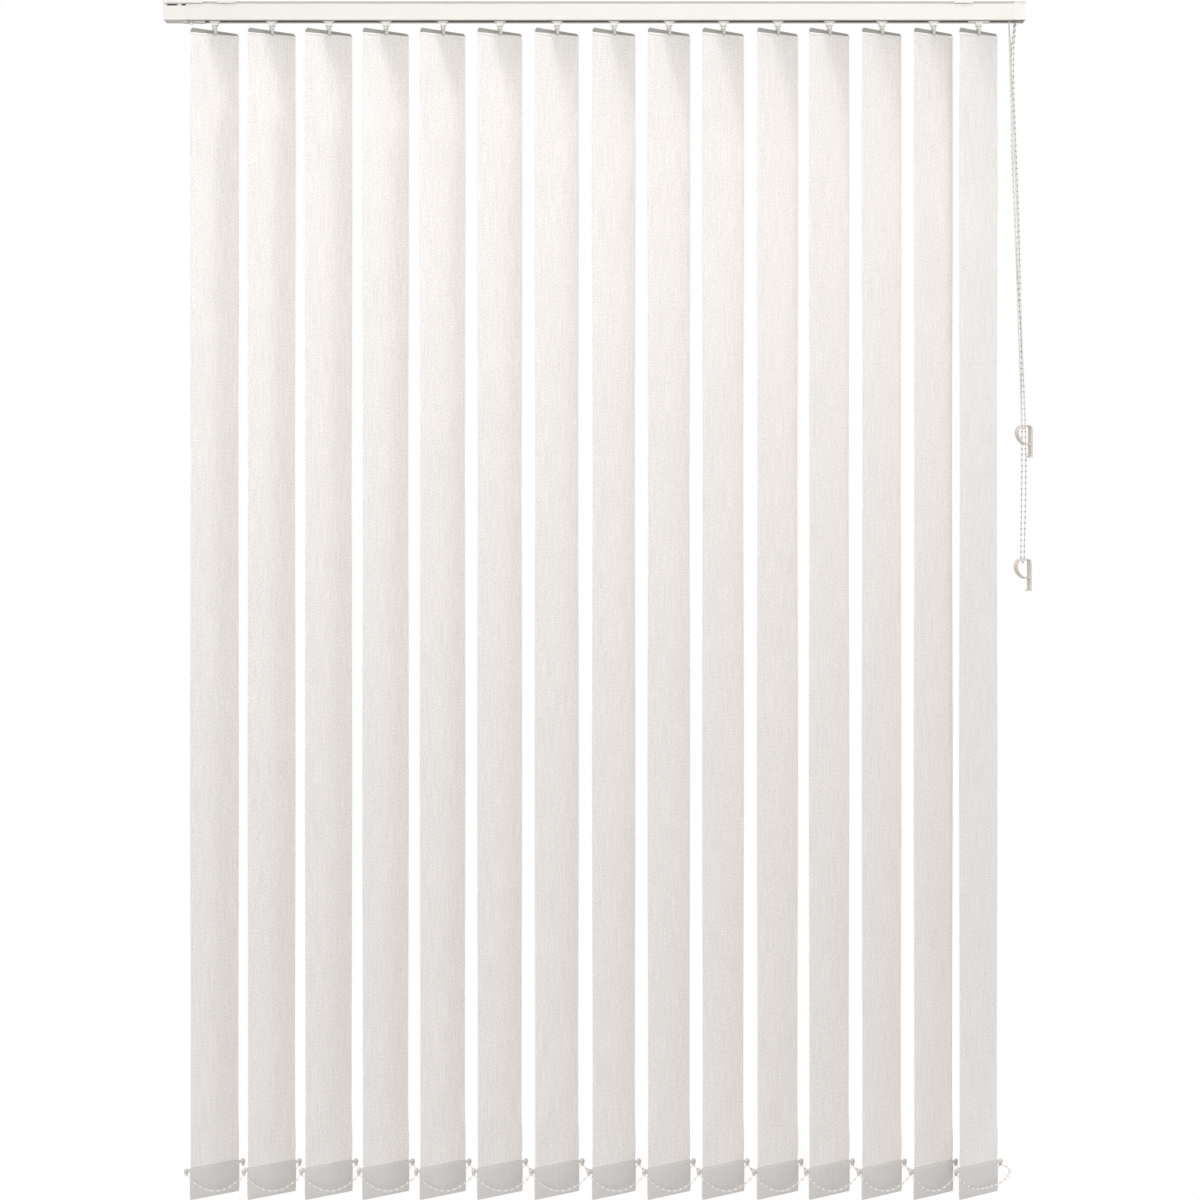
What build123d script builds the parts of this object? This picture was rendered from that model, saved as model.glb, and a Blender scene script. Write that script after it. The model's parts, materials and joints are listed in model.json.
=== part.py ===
"""Vertical blind: a headrail with fifteen carriers, each turning one woven vane on a stem.

Millimetres. X runs along the rail, -Y faces the room, +Z is up, and z = 0 is the ceiling.
"""

from build123d import *
import math
import os

# Rail and overall size
OVERALL_WIDTH = 1800.0
OVERALL_DROP = 2500.0
CLIP_PLATE = 1.3
SEAT_GAP = 0.3
RAIL_TOP = -(CLIP_PLATE + SEAT_GAP)
RAIL_HEIGHT = 39.0
RAIL_HALF_DEPTH = 24.0
RAIL_WALL = 1.6
RAIL_BOTTOM = RAIL_TOP - RAIL_HEIGHT
SLOT_HALF = 10.0
GROOVE_LIP = 1.2
GROOVE_HEIGHT = 4.5
GROOVE_DEPTH = 2.4
LEFT_CAP = 46.0
RIGHT_CAP = 25.0
CAP_WALL = 2.0
OVERRUN = 1.0
SINK = 0.5
SPIGOT_THICK = 3.0
SPIGOT_BELOW_TOP = 11.4
SPIGOT_ABOVE_FOOT = 4.6
LEFT_SPIGOT = 12.0
RIGHT_SPIGOT = 7.0
LEFT_WEB = 3.0
RIGHT_WEB = 2.5
STOP_GAP = 9.0
STOP_RISE = 3.6
STOP_DROP = 3.4
NOTCH_INSET = 2.0
NOTCH_LENGTH = 14.0
BUTTON_R = 4.0
BUTTON_DROP = 6.0
SCREW_INSET = 11.0
SCREW_R = 2.6
WINDOW_GAP = 0.3
WINDOW_HEIGHT = 3.2
WINDOW_INSET = 7.0
WINDOW_LENGTH = 22.0
WINDOW_APART = 9.0
WINDOW_OVERCUT = 0.6
RAIL_LEFT = -OVERALL_WIDTH / 2 + LEFT_CAP
RAIL_RIGHT = OVERALL_WIDTH / 2 - RIGHT_CAP
LIP_TOP = RAIL_BOTTOM + RAIL_WALL
SPIGOT_TOP = RAIL_TOP - SPIGOT_BELOW_TOP
SPIGOT_FOOT = RAIL_BOTTOM + SPIGOT_ABOVE_FOOT

# Vanes and where their stems hang
VANE_WIDTH = 127.0
VANE_TILT = 45.0
FIRST_STEM_INSET = 104.0
LAST_STEM_INSET = 95.895
PITCH_SHARES = (1, 1, 1, 1, 1, 1, 1, 0.965, 0.95, 0.955, 0.905, 0.92, 0.905, 0.79)
FIRST_STEM = -OVERALL_WIDTH / 2 + FIRST_STEM_INSET
FULL_PITCH = (OVERALL_WIDTH - FIRST_STEM_INSET - LAST_STEM_INSET) / sum(PITCH_SHARES)
HANGER_TOP = -60.0
HANGER_HEIGHT = 22.0
HANGER_THICK = 2.4
FABRIC_THICK = 0.7
HEM_HEIGHT = 65.0
HEM_THICK = 3.0
PEG_DROP = 5.0
PEG_Z = HANGER_TOP - PEG_DROP
PEG_SIDE = 3.0

# Chain clips on the weights, and the chains that hang from them
CLIP_ACROSS = 10.0
CLIP_NECK = 6.0
CLIP_NECK_HEIGHT = 5.0
CLIP_BELOW_SEAM = 3.5
BEAD_R = 2.25
STRING_R = 0.6
BEAD_PITCH = 12.0
BEAD_SIDES = 3
CHAIN_SAG = 34.0
CLIP_REACH = VANE_WIDTH / 2 + CLIP_NECK + CLIP_ACROSS / 2
CLIP_Z = -OVERALL_DROP + HEM_HEIGHT - CLIP_BELOW_SEAM
CHAIN_TOP_Z = CLIP_Z - CLIP_ACROSS / 2 - SEAT_GAP - BEAD_R

# Carriers and stems
CARRIER_LENGTH = 22.0
LEAD_LENGTH = 44.0
CARRIER_SIDE_GAP = 1.4
CARRIER_HALF_DEPTH = RAIL_HALF_DEPTH - RAIL_WALL - CARRIER_SIDE_GAP
CARRIER_TOP = -11.0
CARRIER_FOOT = LIP_TOP + SEAT_GAP
NECK_GAP = 0.5
NECK_DROP = 2.9
NECK_HALF_DEPTH = SLOT_HALF - NECK_GAP
NECK_BOTTOM = RAIL_BOTTOM - NECK_DROP
BOSS_HEIGHT = 7.0
BOSS_BOTTOM = NECK_BOTTOM - BOSS_HEIGHT
BOSS_HALF = 7.0
POCKET_HALF = 7.0
BORE_HALF = 4.4
LEDGE_Z = -30.3
SHAFT_R = 4.0
SHAFT_TOP = -13.0
COLLAR_R = 6.4
COLLAR_HEIGHT = 3.0
STEP_R = 5.0
FOOT_R = 6.0
FOOT_GAP = 2.4
FOOT_TOP = BOSS_BOTTOM - FOOT_GAP
FOOT_STEP = 2.2
PRONG_WIDTH = 7.0
PRONG_THICK = 1.6
PRONG_GAP = 0.25
PRONG_PAST_PEG = 3.0
PRONG_BOTTOM = PEG_Z - PRONG_PAST_PEG
GRIP_HALF = 4.0
GRIP_RISE = 2.5
GRIP_GAP = 0.6

# Tilt rod and its sprocket
ROD_DEPTH_SHARE = 1 / 3
ROD_Y = RAIL_HALF_DEPTH * ROD_DEPTH_SHARE
ROD_Z = -18.0
ROD_FLATS = 5.0
ROD_SLOT_HALF = 3.5
ROD_PAST_LEFT = 9.0
ROD_PAST_RIGHT = 16.0
ROD_SEAT = 1.0
ROD_LEFT = RAIL_LEFT - ROD_PAST_LEFT
ROD_RIGHT = RAIL_RIGHT + ROD_PAST_RIGHT
SPROCKET_PAST_RAIL = 6.5
SPROCKET_SIDE_GAP = 0.7
SPROCKET_X = RAIL_RIGHT + SPROCKET_PAST_RAIL
CAP_TOP_GAP = 0.4
SIDE_ROOM = RAIL_HALF_DEPTH - CAP_WALL - ROD_Y
TOP_ROOM = RAIL_TOP - CAP_WALL - CAP_TOP_GAP - ROD_Z
SPROCKET_ROOM = min(SIDE_ROOM, TOP_ROOM)
CHAIN_GAP = 0.25
SPROCKET_POCKETS = math.floor(2 * math.pi * (SPROCKET_ROOM - BEAD_R - CHAIN_GAP) / BEAD_PITCH)
PITCH_R = SPROCKET_POCKETS * BEAD_PITCH / (2 * math.pi)
DRUM_R = PITCH_R - BEAD_R - SEAT_GAP
FLANGE_ROOM = 1.0
FLANGE_R = SPROCKET_ROOM - FLANGE_ROOM
POCKET_DEPTH = 3.6
NOTCH_R = FLANGE_R - POCKET_DEPTH
CHAIN_ENDS_APART = 0.3
WRAP_SLACK = 0.6
FLANGE_IN = 2.9
FLANGE_OUT = 4.6

# Traverse cord, its pulleys, and the hooks that hold the loops down
CORD_R = 1.3
CORD_SIDES = 8
CORD_STEP = math.radians(30)
POST_SIDES = 12
CORD_Z = -7.0
CORD_FRONT_Y = -8.0
CORD_BACK_Y = 2.0
CORD_EXIT_INSET = 9.0
CORD_EXIT_X = RAIL_RIGHT - CORD_EXIT_INSET
CORD_ENDS_APART = 0.4
TURN_SLACK = 0.1
IDLER_SLACK = 0.05
CORD_BEND_R = 7.0
PULLEY_GAP = 0.6
IDLER_R = (CORD_BACK_Y - CORD_FRONT_Y) / 2
IDLER_PAST_RAIL = 18.0
IDLER_X = RAIL_LEFT - IDLER_PAST_RAIL
PULLEY_RIM = 1.7
PULLEY_IN = CORD_R + PULLEY_GAP
PULLEY_CHEEK = 1.3
PULLEY_OUT = PULLEY_IN + PULLEY_CHEEK
AXLE_R = 1.6
AXLE_GAP = 0.3
AXLE_PAST = 1.0
AXLE_SHOULDER = 1.6
ARM_HALF = 5.0
ARM_RISE = 4.0
STRAND_HALF = 4.5
HOOK_TURN = 30.0
HOOK_WIDTH = 12.0
HOOK_BAND = 3.0
HOOK_LOOP_WIDTH = 39.0
HOOK_LOOP_HEIGHT = 42.0
HOOK_RIGHT_SHARES = ((1, -0.93), (1, -0.22), (0.93, -0.1), (0.78, -0.03), (0.55, 0), (-0.42, 0))
HOOK_LEFT_SHARES = ((-0.66, -0.06), (-0.86, -0.17), (-0.97, -0.3), (-1, -0.41), (-0.95, -0.54))
HOOK_FOOT_SHARES = ((-0.8, -0.68), (-0.5, -0.84), (-0.12, -0.955), (0.25, -1), (0.62, -0.99))
HOOK_LEG = 68.0
HOOK_LEG_THICK = 4.0
HOOK_FOOT = 9.0
HOOK_WAY_GAP = 0.5
CORD_HOOK_ASIDE, CORD_HOOK_Y, CORD_HOOK_Z = 22.5, -9.0, -886.0
CHAIN_HOOK_ASIDE, CHAIN_HOOK_Y, CHAIN_HOOK_Z = 23.0, 10.5, -1166.0
CORD_HOOK_AT = (RAIL_RIGHT + CORD_HOOK_ASIDE, CORD_HOOK_Y, CORD_HOOK_Z)
CHAIN_HOOK_AT = (RAIL_RIGHT + CHAIN_HOOK_ASIDE, CHAIN_HOOK_Y, CHAIN_HOOK_Z)

# Mounting clips and the end bracket
CLIP_INSET = 130.0
CLIP_SPACING = OVERALL_WIDTH - 2 * CLIP_INSET
CLIP_LENGTH = 38.0
CLIP_HOLE_R = 2.5
FLANGE_GAP = 0.3
FLANGE_THICK = 1.7
FLANGE_DROP = 7.4
JAW_DEPTH = 1.8
EDGE_RISE = 1.5
EDGE_CHAMFER = 1.0
JAW_RISE = 2.3
JAW_TIP_RISE = 2.9
BRACKET_OVERHANG = 2.0
BRACKET_LEFT = -OVERALL_WIDTH / 2 - BRACKET_OVERHANG
BRACKET_LENGTH = 84.0


def block(x0, x1, y0, y1, z0, z1):
    """A box between two corners."""
    size = Box(x1 - x0, y1 - y0, z1 - z0)
    return Pos((x0 + x1) / 2, (y0 + y1) / 2, (z0 + z1) / 2) * size


def along_x(points, x0, x1):
    """A closed outline of (y, z) points drawn out along X."""
    plane = Plane(origin=(x0, 0, 0), x_dir=(0, 1, 0), z_dir=(1, 0, 0))
    return extrude(plane * Polygon(*points, align=None), amount=x1 - x0, dir=(1, 0, 0))


def octagon(radius, z0, z1):
    """An eight-sided post on the Z axis, its flats to the front."""
    outline = Rot(0, 0, 22.5) * RegularPolygon(radius, 8)
    return Pos(0, 0, z0) * extrude(outline, amount=z1 - z0, dir=(0, 0, 1))


def mirrored(half):
    """A half outline on the +Y side, closed by its mirror image."""
    return list(half) + [(-y, z) for y, z in reversed(half)]


def stem_places():
    """Where each stem hangs along the rail: the last spaces are drawn a little closed."""
    places = [FIRST_STEM]
    for share in PITCH_SHARES:
        places.append(places[-1] + FULL_PITCH * share)
    return places


def rail_outline():
    """The outside of the rail from its top to its slot, one side."""
    groove_top = RAIL_TOP - GROOVE_LIP
    groove_foot = groove_top - GROOVE_HEIGHT
    inset = RAIL_HALF_DEPTH - GROOVE_DEPTH
    return [
        (RAIL_HALF_DEPTH, RAIL_TOP),
        (RAIL_HALF_DEPTH, groove_top),
        (inset, groove_top),
        (inset, groove_foot),
        (RAIL_HALF_DEPTH, groove_foot),
        (RAIL_HALF_DEPTH, RAIL_BOTTOM),
    ]


def make_headrail():
    """One extruded channel with a clip groove along each top edge."""
    inset = RAIL_HALF_DEPTH - GROOVE_DEPTH - RAIL_WALL
    step = RAIL_TOP - GROOVE_LIP - GROOVE_HEIGHT - RAIL_WALL
    inside = RAIL_HALF_DEPTH - RAIL_WALL
    half = rail_outline() + [
        (SLOT_HALF, RAIL_BOTTOM),
        (SLOT_HALF, LIP_TOP),
        (inside, LIP_TOP),
        (inside, step),
        (inset, step),
        (inset, RAIL_TOP - RAIL_WALL),
    ]
    return along_x(mirrored(half), RAIL_LEFT, RAIL_RIGHT)


def cap_inside(x0, x1, floor):
    """The hollow of an end cap down to the floor given."""
    inset = RAIL_HALF_DEPTH - GROOVE_DEPTH - CAP_WALL
    step = RAIL_TOP - GROOVE_LIP - GROOVE_HEIGHT - CAP_WALL
    inside = RAIL_HALF_DEPTH - CAP_WALL
    half = [
        (inset, RAIL_TOP - CAP_WALL),
        (inset, step),
        (inside, step),
        (inside, floor),
    ]
    return along_x(mirrored(half), x0, x1)


def spigot(x0, x1):
    """Two cheeks that slide into the rail beside the carriers."""
    outer = RAIL_HALF_DEPTH - RAIL_WALL - SEAT_GAP
    inner = outer - SPIGOT_THICK
    near = block(x0, x1, -outer, -inner, SPIGOT_FOOT, SPIGOT_TOP)
    return block(x0, x1, inner, outer, SPIGOT_FOOT, SPIGOT_TOP) + near


def make_left_cap():
    """Closed cap with the idler's axle, the rod's bearing and the end stop of the carriers."""
    left = -OVERALL_WIDTH / 2
    cap = along_x(mirrored(rail_outline()), left, RAIL_LEFT)
    cap -= cap_inside(left + CAP_WALL, RAIL_LEFT, RAIL_BOTTOM + CAP_WALL)
    web_left = ROD_LEFT + ROD_SEAT
    web_right = web_left + LEFT_WEB
    web_half = RAIL_HALF_DEPTH - CAP_WALL
    cap += block(web_left, web_right, -web_half, web_half, RAIL_BOTTOM, CARRIER_TOP)
    cap += spigot(web_left, RAIL_LEFT + LEFT_SPIGOT)
    stop_end = FIRST_STEM - CARRIER_LENGTH / 2 - STOP_GAP
    stop_half = NECK_HALF_DEPTH
    stop_foot = RAIL_BOTTOM - STOP_DROP
    cap += block(web_left, stop_end, -stop_half, stop_half, stop_foot, RAIL_BOTTOM + STOP_RISE)
    notch_left = RAIL_LEFT + NOTCH_INSET
    notch_right = notch_left + NOTCH_LENGTH
    cap -= block(notch_left, notch_right, -stop_half, stop_half, stop_foot, RAIL_BOTTOM)
    button = Pos((notch_left + notch_right) / 2, 0, RAIL_BOTTOM - BUTTON_DROP)
    cap += button * post(BUTTON_R, BUTTON_DROP + SINK)
    cap -= rod_slot(web_left - OVERRUN, web_right + OVERRUN)
    axle_foot = RAIL_BOTTOM + CAP_WALL / 2
    axle_top = CORD_Z + PULLEY_OUT + AXLE_PAST
    middle = (CORD_FRONT_Y + CORD_BACK_Y) / 2
    cap += Pos(IDLER_X, middle, axle_foot) * post(AXLE_R, axle_top - axle_foot)
    shoulder = CORD_Z - PULLEY_OUT - SEAT_GAP
    cap += Pos(IDLER_X, middle, axle_foot) * post(AXLE_R + AXLE_SHOULDER, shoulder - axle_foot)
    window_top = -FLANGE_DROP - WINDOW_GAP
    inner = RAIL_HALF_DEPTH - GROOVE_DEPTH - CAP_WALL - WINDOW_OVERCUT
    window_left = left + WINDOW_INSET
    window_right = window_left + WINDOW_LENGTH
    for x0, x1 in ((window_left, window_right), (window_right + WINDOW_APART, RAIL_LEFT)):
        for y0, y1 in ((inner, RAIL_HALF_DEPTH), (-RAIL_HALF_DEPTH, -inner)):
            cap -= block(x0, x1, y0, y1, window_top - WINDOW_HEIGHT, window_top)
    return cap - Pos(left + SCREW_INSET, 0, RAIL_BOTTOM - OVERRUN) * post(SCREW_R, CAP_WALL + 2 * OVERRUN)


def make_right_cap():
    """Cap open below for the tilt chain, with the control pulley's axle on its front cheek."""
    right = OVERALL_WIDTH / 2
    cap = along_x(mirrored(rail_outline()), RAIL_RIGHT, right)
    cap -= cap_inside(RAIL_RIGHT, right - CAP_WALL, RAIL_BOTTOM - OVERRUN)
    web_left = ROD_RIGHT - RIGHT_WEB
    web_half = RAIL_HALF_DEPTH - CAP_WALL
    root_end = SPROCKET_X - FLANGE_OUT - SPROCKET_SIDE_GAP
    root_half = web_half - SPIGOT_THICK
    cap += block(web_left, ROD_RIGHT, -web_half, web_half, SPIGOT_FOOT, RAIL_TOP - CAP_WALL)
    cap += spigot(RAIL_RIGHT - RIGHT_SPIGOT, root_end)
    cap += block(RAIL_RIGHT, root_end, -web_half, -root_half, SPIGOT_FOOT, SPIGOT_TOP)
    cap += block(RAIL_RIGHT, root_end, root_half, web_half, SPIGOT_FOOT, SPIGOT_TOP)
    pulley_x, pulley_z = CORD_EXIT_X - CORD_BEND_R, CORD_Z - CORD_BEND_R
    arm_back = CORD_FRONT_Y - PULLEY_OUT - SEAT_GAP
    arm_front = -RAIL_HALF_DEPTH + RAIL_WALL + SEAT_GAP
    arm_left = pulley_x - ARM_HALF
    cap += block(arm_left, RAIL_RIGHT, arm_front, arm_back, pulley_z - ARM_HALF, pulley_z + ARM_RISE)
    axle = Rot(-90, 0, 0) * post(AXLE_R, 2 * PULLEY_OUT + 2 * AXLE_PAST)
    cap += Pos(pulley_x, arm_back - SINK, pulley_z) * axle
    return cap - rod_slot(RAIL_RIGHT, ROD_RIGHT + OVERRUN)


def rod_slot(x0, x1):
    """A square way for the tilt rod."""
    half = ROD_SLOT_HALF
    return block(x0, x1, ROD_Y - half, ROD_Y + half, ROD_Z - half, ROD_Z + half)


def post(radius, height):
    """A many-sided post standing on its own origin."""
    return extrude(RegularPolygon(radius, POST_SIDES), amount=height, dir=(0, 0, 1))


def drill(radius, height):
    """A round drill standing on its own origin."""
    return extrude(Circle(radius), amount=height, dir=(0, 0, 1))


def make_gripper(x0, x1):
    """A plate over the rail whose folded edges reach into both top grooves."""
    face = RAIL_HALF_DEPTH + FLANGE_GAP
    outer = face + FLANGE_THICK
    jaw = RAIL_HALF_DEPTH - JAW_DEPTH
    jaw_top = RAIL_TOP - GROOVE_LIP - SEAT_GAP
    half = [
        (outer, 0),
        (outer, -FLANGE_DROP + EDGE_RISE),
        (outer - EDGE_CHAMFER, -FLANGE_DROP + JAW_RISE),
        (face, -FLANGE_DROP + JAW_RISE),
        (jaw, -FLANGE_DROP + JAW_TIP_RISE),
        (jaw, jaw_top),
        (face, jaw_top),
        (face, -CLIP_PLATE),
    ]
    return along_x(mirrored(half), x0, x1)


def make_mounting_clips():
    """Two alike clips, each with one ceiling screw hole."""
    clips = []
    for side in (-1, 1):
        middle = side * CLIP_SPACING / 2
        clip = make_gripper(middle - CLIP_LENGTH / 2, middle + CLIP_LENGTH / 2)
        clip -= Pos(middle, 0, -CLIP_PLATE - OVERRUN) * drill(CLIP_HOLE_R, CLIP_PLATE + 2 * OVERRUN)
        clips.append(clip)
    return Compound(children=[clip.solid() for clip in clips])


def make_end_bracket():
    """The plain plate that covers the rail's left end."""
    return make_gripper(BRACKET_LEFT, BRACKET_LEFT + BRACKET_LENGTH)


def make_carrier(length, lead):
    """A housing that slides on the rail's lips, its neck hanging through the slot."""
    half = length / 2
    depth = CARRIER_HALF_DEPTH
    body = block(-half, half, -depth, depth, CARRIER_FOOT, CARRIER_TOP)
    body += block(-half, half, -NECK_HALF_DEPTH, NECK_HALF_DEPTH, NECK_BOTTOM, CARRIER_FOOT)
    body += block(-BOSS_HALF, BOSS_HALF, -BOSS_HALF, BOSS_HALF, BOSS_BOTTOM, NECK_BOTTOM)
    if lead:
        y0, y1 = CORD_FRONT_Y - GRIP_HALF, CORD_FRONT_Y + GRIP_HALF
        body += block(-half, half, y0, y1, CARRIER_TOP, CORD_Z + GRIP_RISE)
        way = CORD_R + GRIP_GAP
        y0, y1 = CORD_FRONT_Y - way, CORD_FRONT_Y + way
        body -= block(-half, half, y0, y1, CORD_Z - way, CORD_Z + GRIP_RISE)
    body -= block(-POCKET_HALF, POCKET_HALF, -POCKET_HALF, POCKET_HALF, LEDGE_Z, CARRIER_TOP)
    body -= block(-BORE_HALF, BORE_HALF, -BORE_HALF, BORE_HALF, BOSS_BOTTOM, LEDGE_Z)
    return body - rod_slot(-half, half)


def make_stem():
    """Shaft held in the carrier by its collar, with a foot and two prongs pinned to the hanger."""
    stem = octagon(SHAFT_R, FOOT_TOP, SHAFT_TOP)
    collar_foot = LEDGE_Z + SEAT_GAP
    stem += octagon(COLLAR_R, collar_foot, collar_foot + COLLAR_HEIGHT)
    stem += octagon(STEP_R, FOOT_TOP - FOOT_STEP, FOOT_TOP)
    stem += octagon(FOOT_R, FOOT_TOP - 2 * FOOT_STEP, FOOT_TOP - FOOT_STEP)
    near = HANGER_THICK / 2 + PRONG_GAP
    far = near + PRONG_THICK
    half = PRONG_WIDTH / 2
    for y0, y1 in ((near, far), (-far, -near)):
        stem += block(-half, half, y0, y1, PRONG_BOTTOM, FOOT_TOP - 2 * FOOT_STEP)
    peg = PEG_SIDE / 2
    stem += block(-peg, peg, -near, near, PEG_Z - peg, PEG_Z + peg)
    return stem


def make_vane():
    """A woven strip with a stiff hanger in its top, a weight in its hem and a clip at each side."""
    hanger, fabric, hem = HANGER_THICK / 2, FABRIC_THICK / 2, HEM_THICK / 2
    hanger_foot = HANGER_TOP - HANGER_HEIGHT
    bottom = -OVERALL_DROP
    half = [
        (hanger, HANGER_TOP),
        (hanger, hanger_foot),
        (fabric, hanger_foot - hanger),
        (fabric, bottom + HEM_HEIGHT + hem),
        (hem, bottom + HEM_HEIGHT),
        (hem, bottom),
    ]
    vane = along_x(mirrored(half), -VANE_WIDTH / 2, VANE_WIDTH / 2)
    hole = PEG_SIDE / 2 + SEAT_GAP
    vane -= block(-hole, hole, -hanger, hanger, PEG_Z - hole, PEG_Z + hole)
    disc = Rot(90, 0, 0) * (Rot(0, 0, 22.5) * RegularPolygon(CLIP_ACROSS / 2, 8, major_radius=False))
    neck = CLIP_NECK_HEIGHT / 2
    for side in (-1, 1):
        centre = side * CLIP_REACH
        clip = Pos(centre, hem, CLIP_Z) * extrude(disc, amount=HEM_THICK, dir=(0, -1, 0))
        x0, x1 = sorted((side * VANE_WIDTH / 2, centre))
        vane += block(x0, x1, -hem, hem, CLIP_Z - neck, CLIP_Z + neck) + clip
    return vane


def loop_points(x0, x1):
    """Bead and string stations along one hanging loop, evenly spaced by length of chain."""
    span = x1 - x0
    steps = 400
    curve = []
    for i in range(steps + 1):
        t = i / steps
        curve.append((x0 + span * t, CHAIN_TOP_Z - 4 * CHAIN_SAG * t * (1 - t)))
    lengths = [0.0]
    for a, b in zip(curve, curve[1:]):
        lengths.append(lengths[-1] + math.dist(a, b))
    stations = 2 * max(1, round(lengths[-1] / BEAD_PITCH))
    points = []
    k = 0
    for s in range(stations):
        want = lengths[-1] * s / stations
        while lengths[k + 1] < want:
            k += 1
        share = (want - lengths[k]) / (lengths[k + 1] - lengths[k])
        a, b = curve[k], curve[k + 1]
        points.append((a[0] + (b[0] - a[0]) * share, a[1] + (b[1] - a[1]) * share))
    return points


def make_bottom_chain(side):
    """One bead chain through every clip of one side, as a faceted string of beads."""
    offset = side * CLIP_REACH
    angle = math.radians(VANE_TILT)
    y = offset * math.sin(angle)
    clips = [x + offset * math.cos(angle) for x in stem_places()]
    points = []
    for a, b in zip(clips, clips[1:]):
        points += loop_points(a, b)
    points.append((clips[-1], CHAIN_TOP_Z))
    rings = []
    for i, (x, z) in enumerate(points):
        radius = BEAD_R if i % 2 == 0 else STRING_R
        ring = []
        for k in range(BEAD_SIDES):
            turn = 2 * math.pi * k / BEAD_SIDES + math.pi / 2
            ring.append((x, y + radius * math.cos(turn), z + radius * math.sin(turn)))
        rings.append(ring)
    return ringed(rings)


def flat(points):
    """A flat face through points in order."""
    return Face(Wire.make_polygon([Vector(p) for p in points], close=True))


def rounded_path(points, radii):
    """Points along straight runs, with each inner corner rounded to its own radius in short steps."""
    spots = [Vector(*p) for p in points]
    path = [spots[0]]
    for before, corner, after, radius in zip(spots, spots[1:], spots[2:], radii):
        come = (before - corner).normalized()
        go = (after - corner).normalized()
        half_angle = math.radians(come.get_angle(go)) / 2
        inward = (come + go).normalized()
        centre = corner + inward * (radius / math.sin(half_angle))
        start = come * (radius / math.tan(half_angle)) + corner - centre
        end = go * (radius / math.tan(half_angle)) + corner - centre
        turn = math.pi - 2 * half_angle
        steps = max(2, math.ceil(turn / CORD_STEP))
        for i in range(steps + 1):
            a = turn * i / steps
            along = start * (math.sin(turn - a) / math.sin(turn)) + end * (math.sin(a) / math.sin(turn))
            path.append(centre + along)
    return path + [spots[-1]]


def tube(points, radii, radius):
    """A plain many-sided cord along a rounded path, mitred at every step."""
    path = rounded_path(points, radii)
    ways = [(b - a).normalized() for a, b in zip(path, path[1:])]
    side = ways[0].cross(Vector(0.3, 0.5, 0.8)).normalized()
    up = ways[0].cross(side)
    ring = []
    for k in range(CORD_SIDES):
        turn = 2 * math.pi * k / CORD_SIDES
        ring.append(path[0] + side * (radius * math.cos(turn)) + up * (radius * math.sin(turn)))
    rings = [ring]
    for i, way in enumerate(ways):
        normal = way + ways[i + 1] if i + 1 < len(ways) else way
        ring = [p + way * ((path[i + 1] - p).dot(normal) / way.dot(normal)) for p in ring]
        rings.append(ring)
    return ringed(rings)


def ringed(rings):
    """A closed solid of flat faces between rings of as many points each."""
    sides = len(rings[0])
    faces = [flat(rings[0]), flat(rings[-1])]
    for a, b in zip(rings, rings[1:]):
        for k in range(sides):
            n = (k + 1) % sides
            faces.append(flat([a[k], a[n], b[n], b[k]]))
    return Solid(Shell(faces))


def strands(at):
    """The two ends of the turn that a cord makes through a hook."""
    turn = math.radians(HOOK_TURN)
    dx, dy = STRAND_HALF * math.cos(turn), STRAND_HALF * math.sin(turn)
    x, y, z = at
    foot = z - HOOK_BAND - STRAND_HALF
    return (x - dx, y - dy, foot), (x + dx, y + dy, foot)


def make_tilt_chain():
    """The endless bead chain over the sprocket, drawn as a plain round cord."""
    front, back = strands(CHAIN_HOOK_AT)
    top = ROD_Z + PITCH_R
    points = [
        (SPROCKET_X, ROD_Y - CHAIN_ENDS_APART, top),
        (SPROCKET_X, ROD_Y - PITCH_R, top),
        front,
        back,
        (SPROCKET_X, ROD_Y + PITCH_R, top),
        (SPROCKET_X, ROD_Y + CHAIN_ENDS_APART, top),
    ]
    wrap = PITCH_R - WRAP_SLACK
    turn = STRAND_HALF - TURN_SLACK
    return tube(points, (wrap, turn, turn, wrap), BEAD_R)


def make_traverse_cord():
    """The draw cord: lead carrier, control end, hook, back along the rail, idler, lead carrier."""
    front, back = strands(CORD_HOOK_AT)
    lead = stem_places()[-1]
    far = IDLER_X - IDLER_R
    points = [
        (lead + CORD_ENDS_APART, CORD_FRONT_Y, CORD_Z),
        (CORD_EXIT_X, CORD_FRONT_Y, CORD_Z),
        front,
        back,
        (CORD_EXIT_X, CORD_BACK_Y, CORD_Z),
        (far, CORD_BACK_Y, CORD_Z),
        (far, CORD_FRONT_Y, CORD_Z),
        (lead - CORD_ENDS_APART, CORD_FRONT_Y, CORD_Z),
    ]
    turn = STRAND_HALF - TURN_SLACK
    idle = IDLER_R - IDLER_SLACK
    return tube(points, (CORD_BEND_R, turn, turn, CORD_BEND_R, idle, idle), CORD_R)


def make_pulley(bend_r):
    """A grooved wheel on the Z axis for a cord that bends to the radius given."""
    drum = bend_r - CORD_R - PULLEY_GAP
    rim = bend_r + PULLEY_RIM
    wheel = Pos(0, 0, -PULLEY_OUT) * post(drum, 2 * PULLEY_OUT)
    for foot in (-PULLEY_OUT, PULLEY_IN):
        wheel += Pos(0, 0, foot) * post(rim, PULLEY_OUT - PULLEY_IN)
    return wheel - Pos(0, 0, -PULLEY_OUT) * post(AXLE_R + AXLE_GAP, 2 * PULLEY_OUT)


def make_idler_pulley():
    """The return pulley, flat in the left cap."""
    return Pos(IDLER_X, (CORD_FRONT_Y + CORD_BACK_Y) / 2, CORD_Z) * make_pulley(IDLER_R)


def make_control_pulley():
    """The upright pulley that turns the pulled run down at the control end."""
    x, z = CORD_EXIT_X - CORD_BEND_R, CORD_Z - CORD_BEND_R
    return Pos(x, CORD_FRONT_Y, z) * (Rot(90, 0, 0) * make_pulley(CORD_BEND_R))


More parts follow.
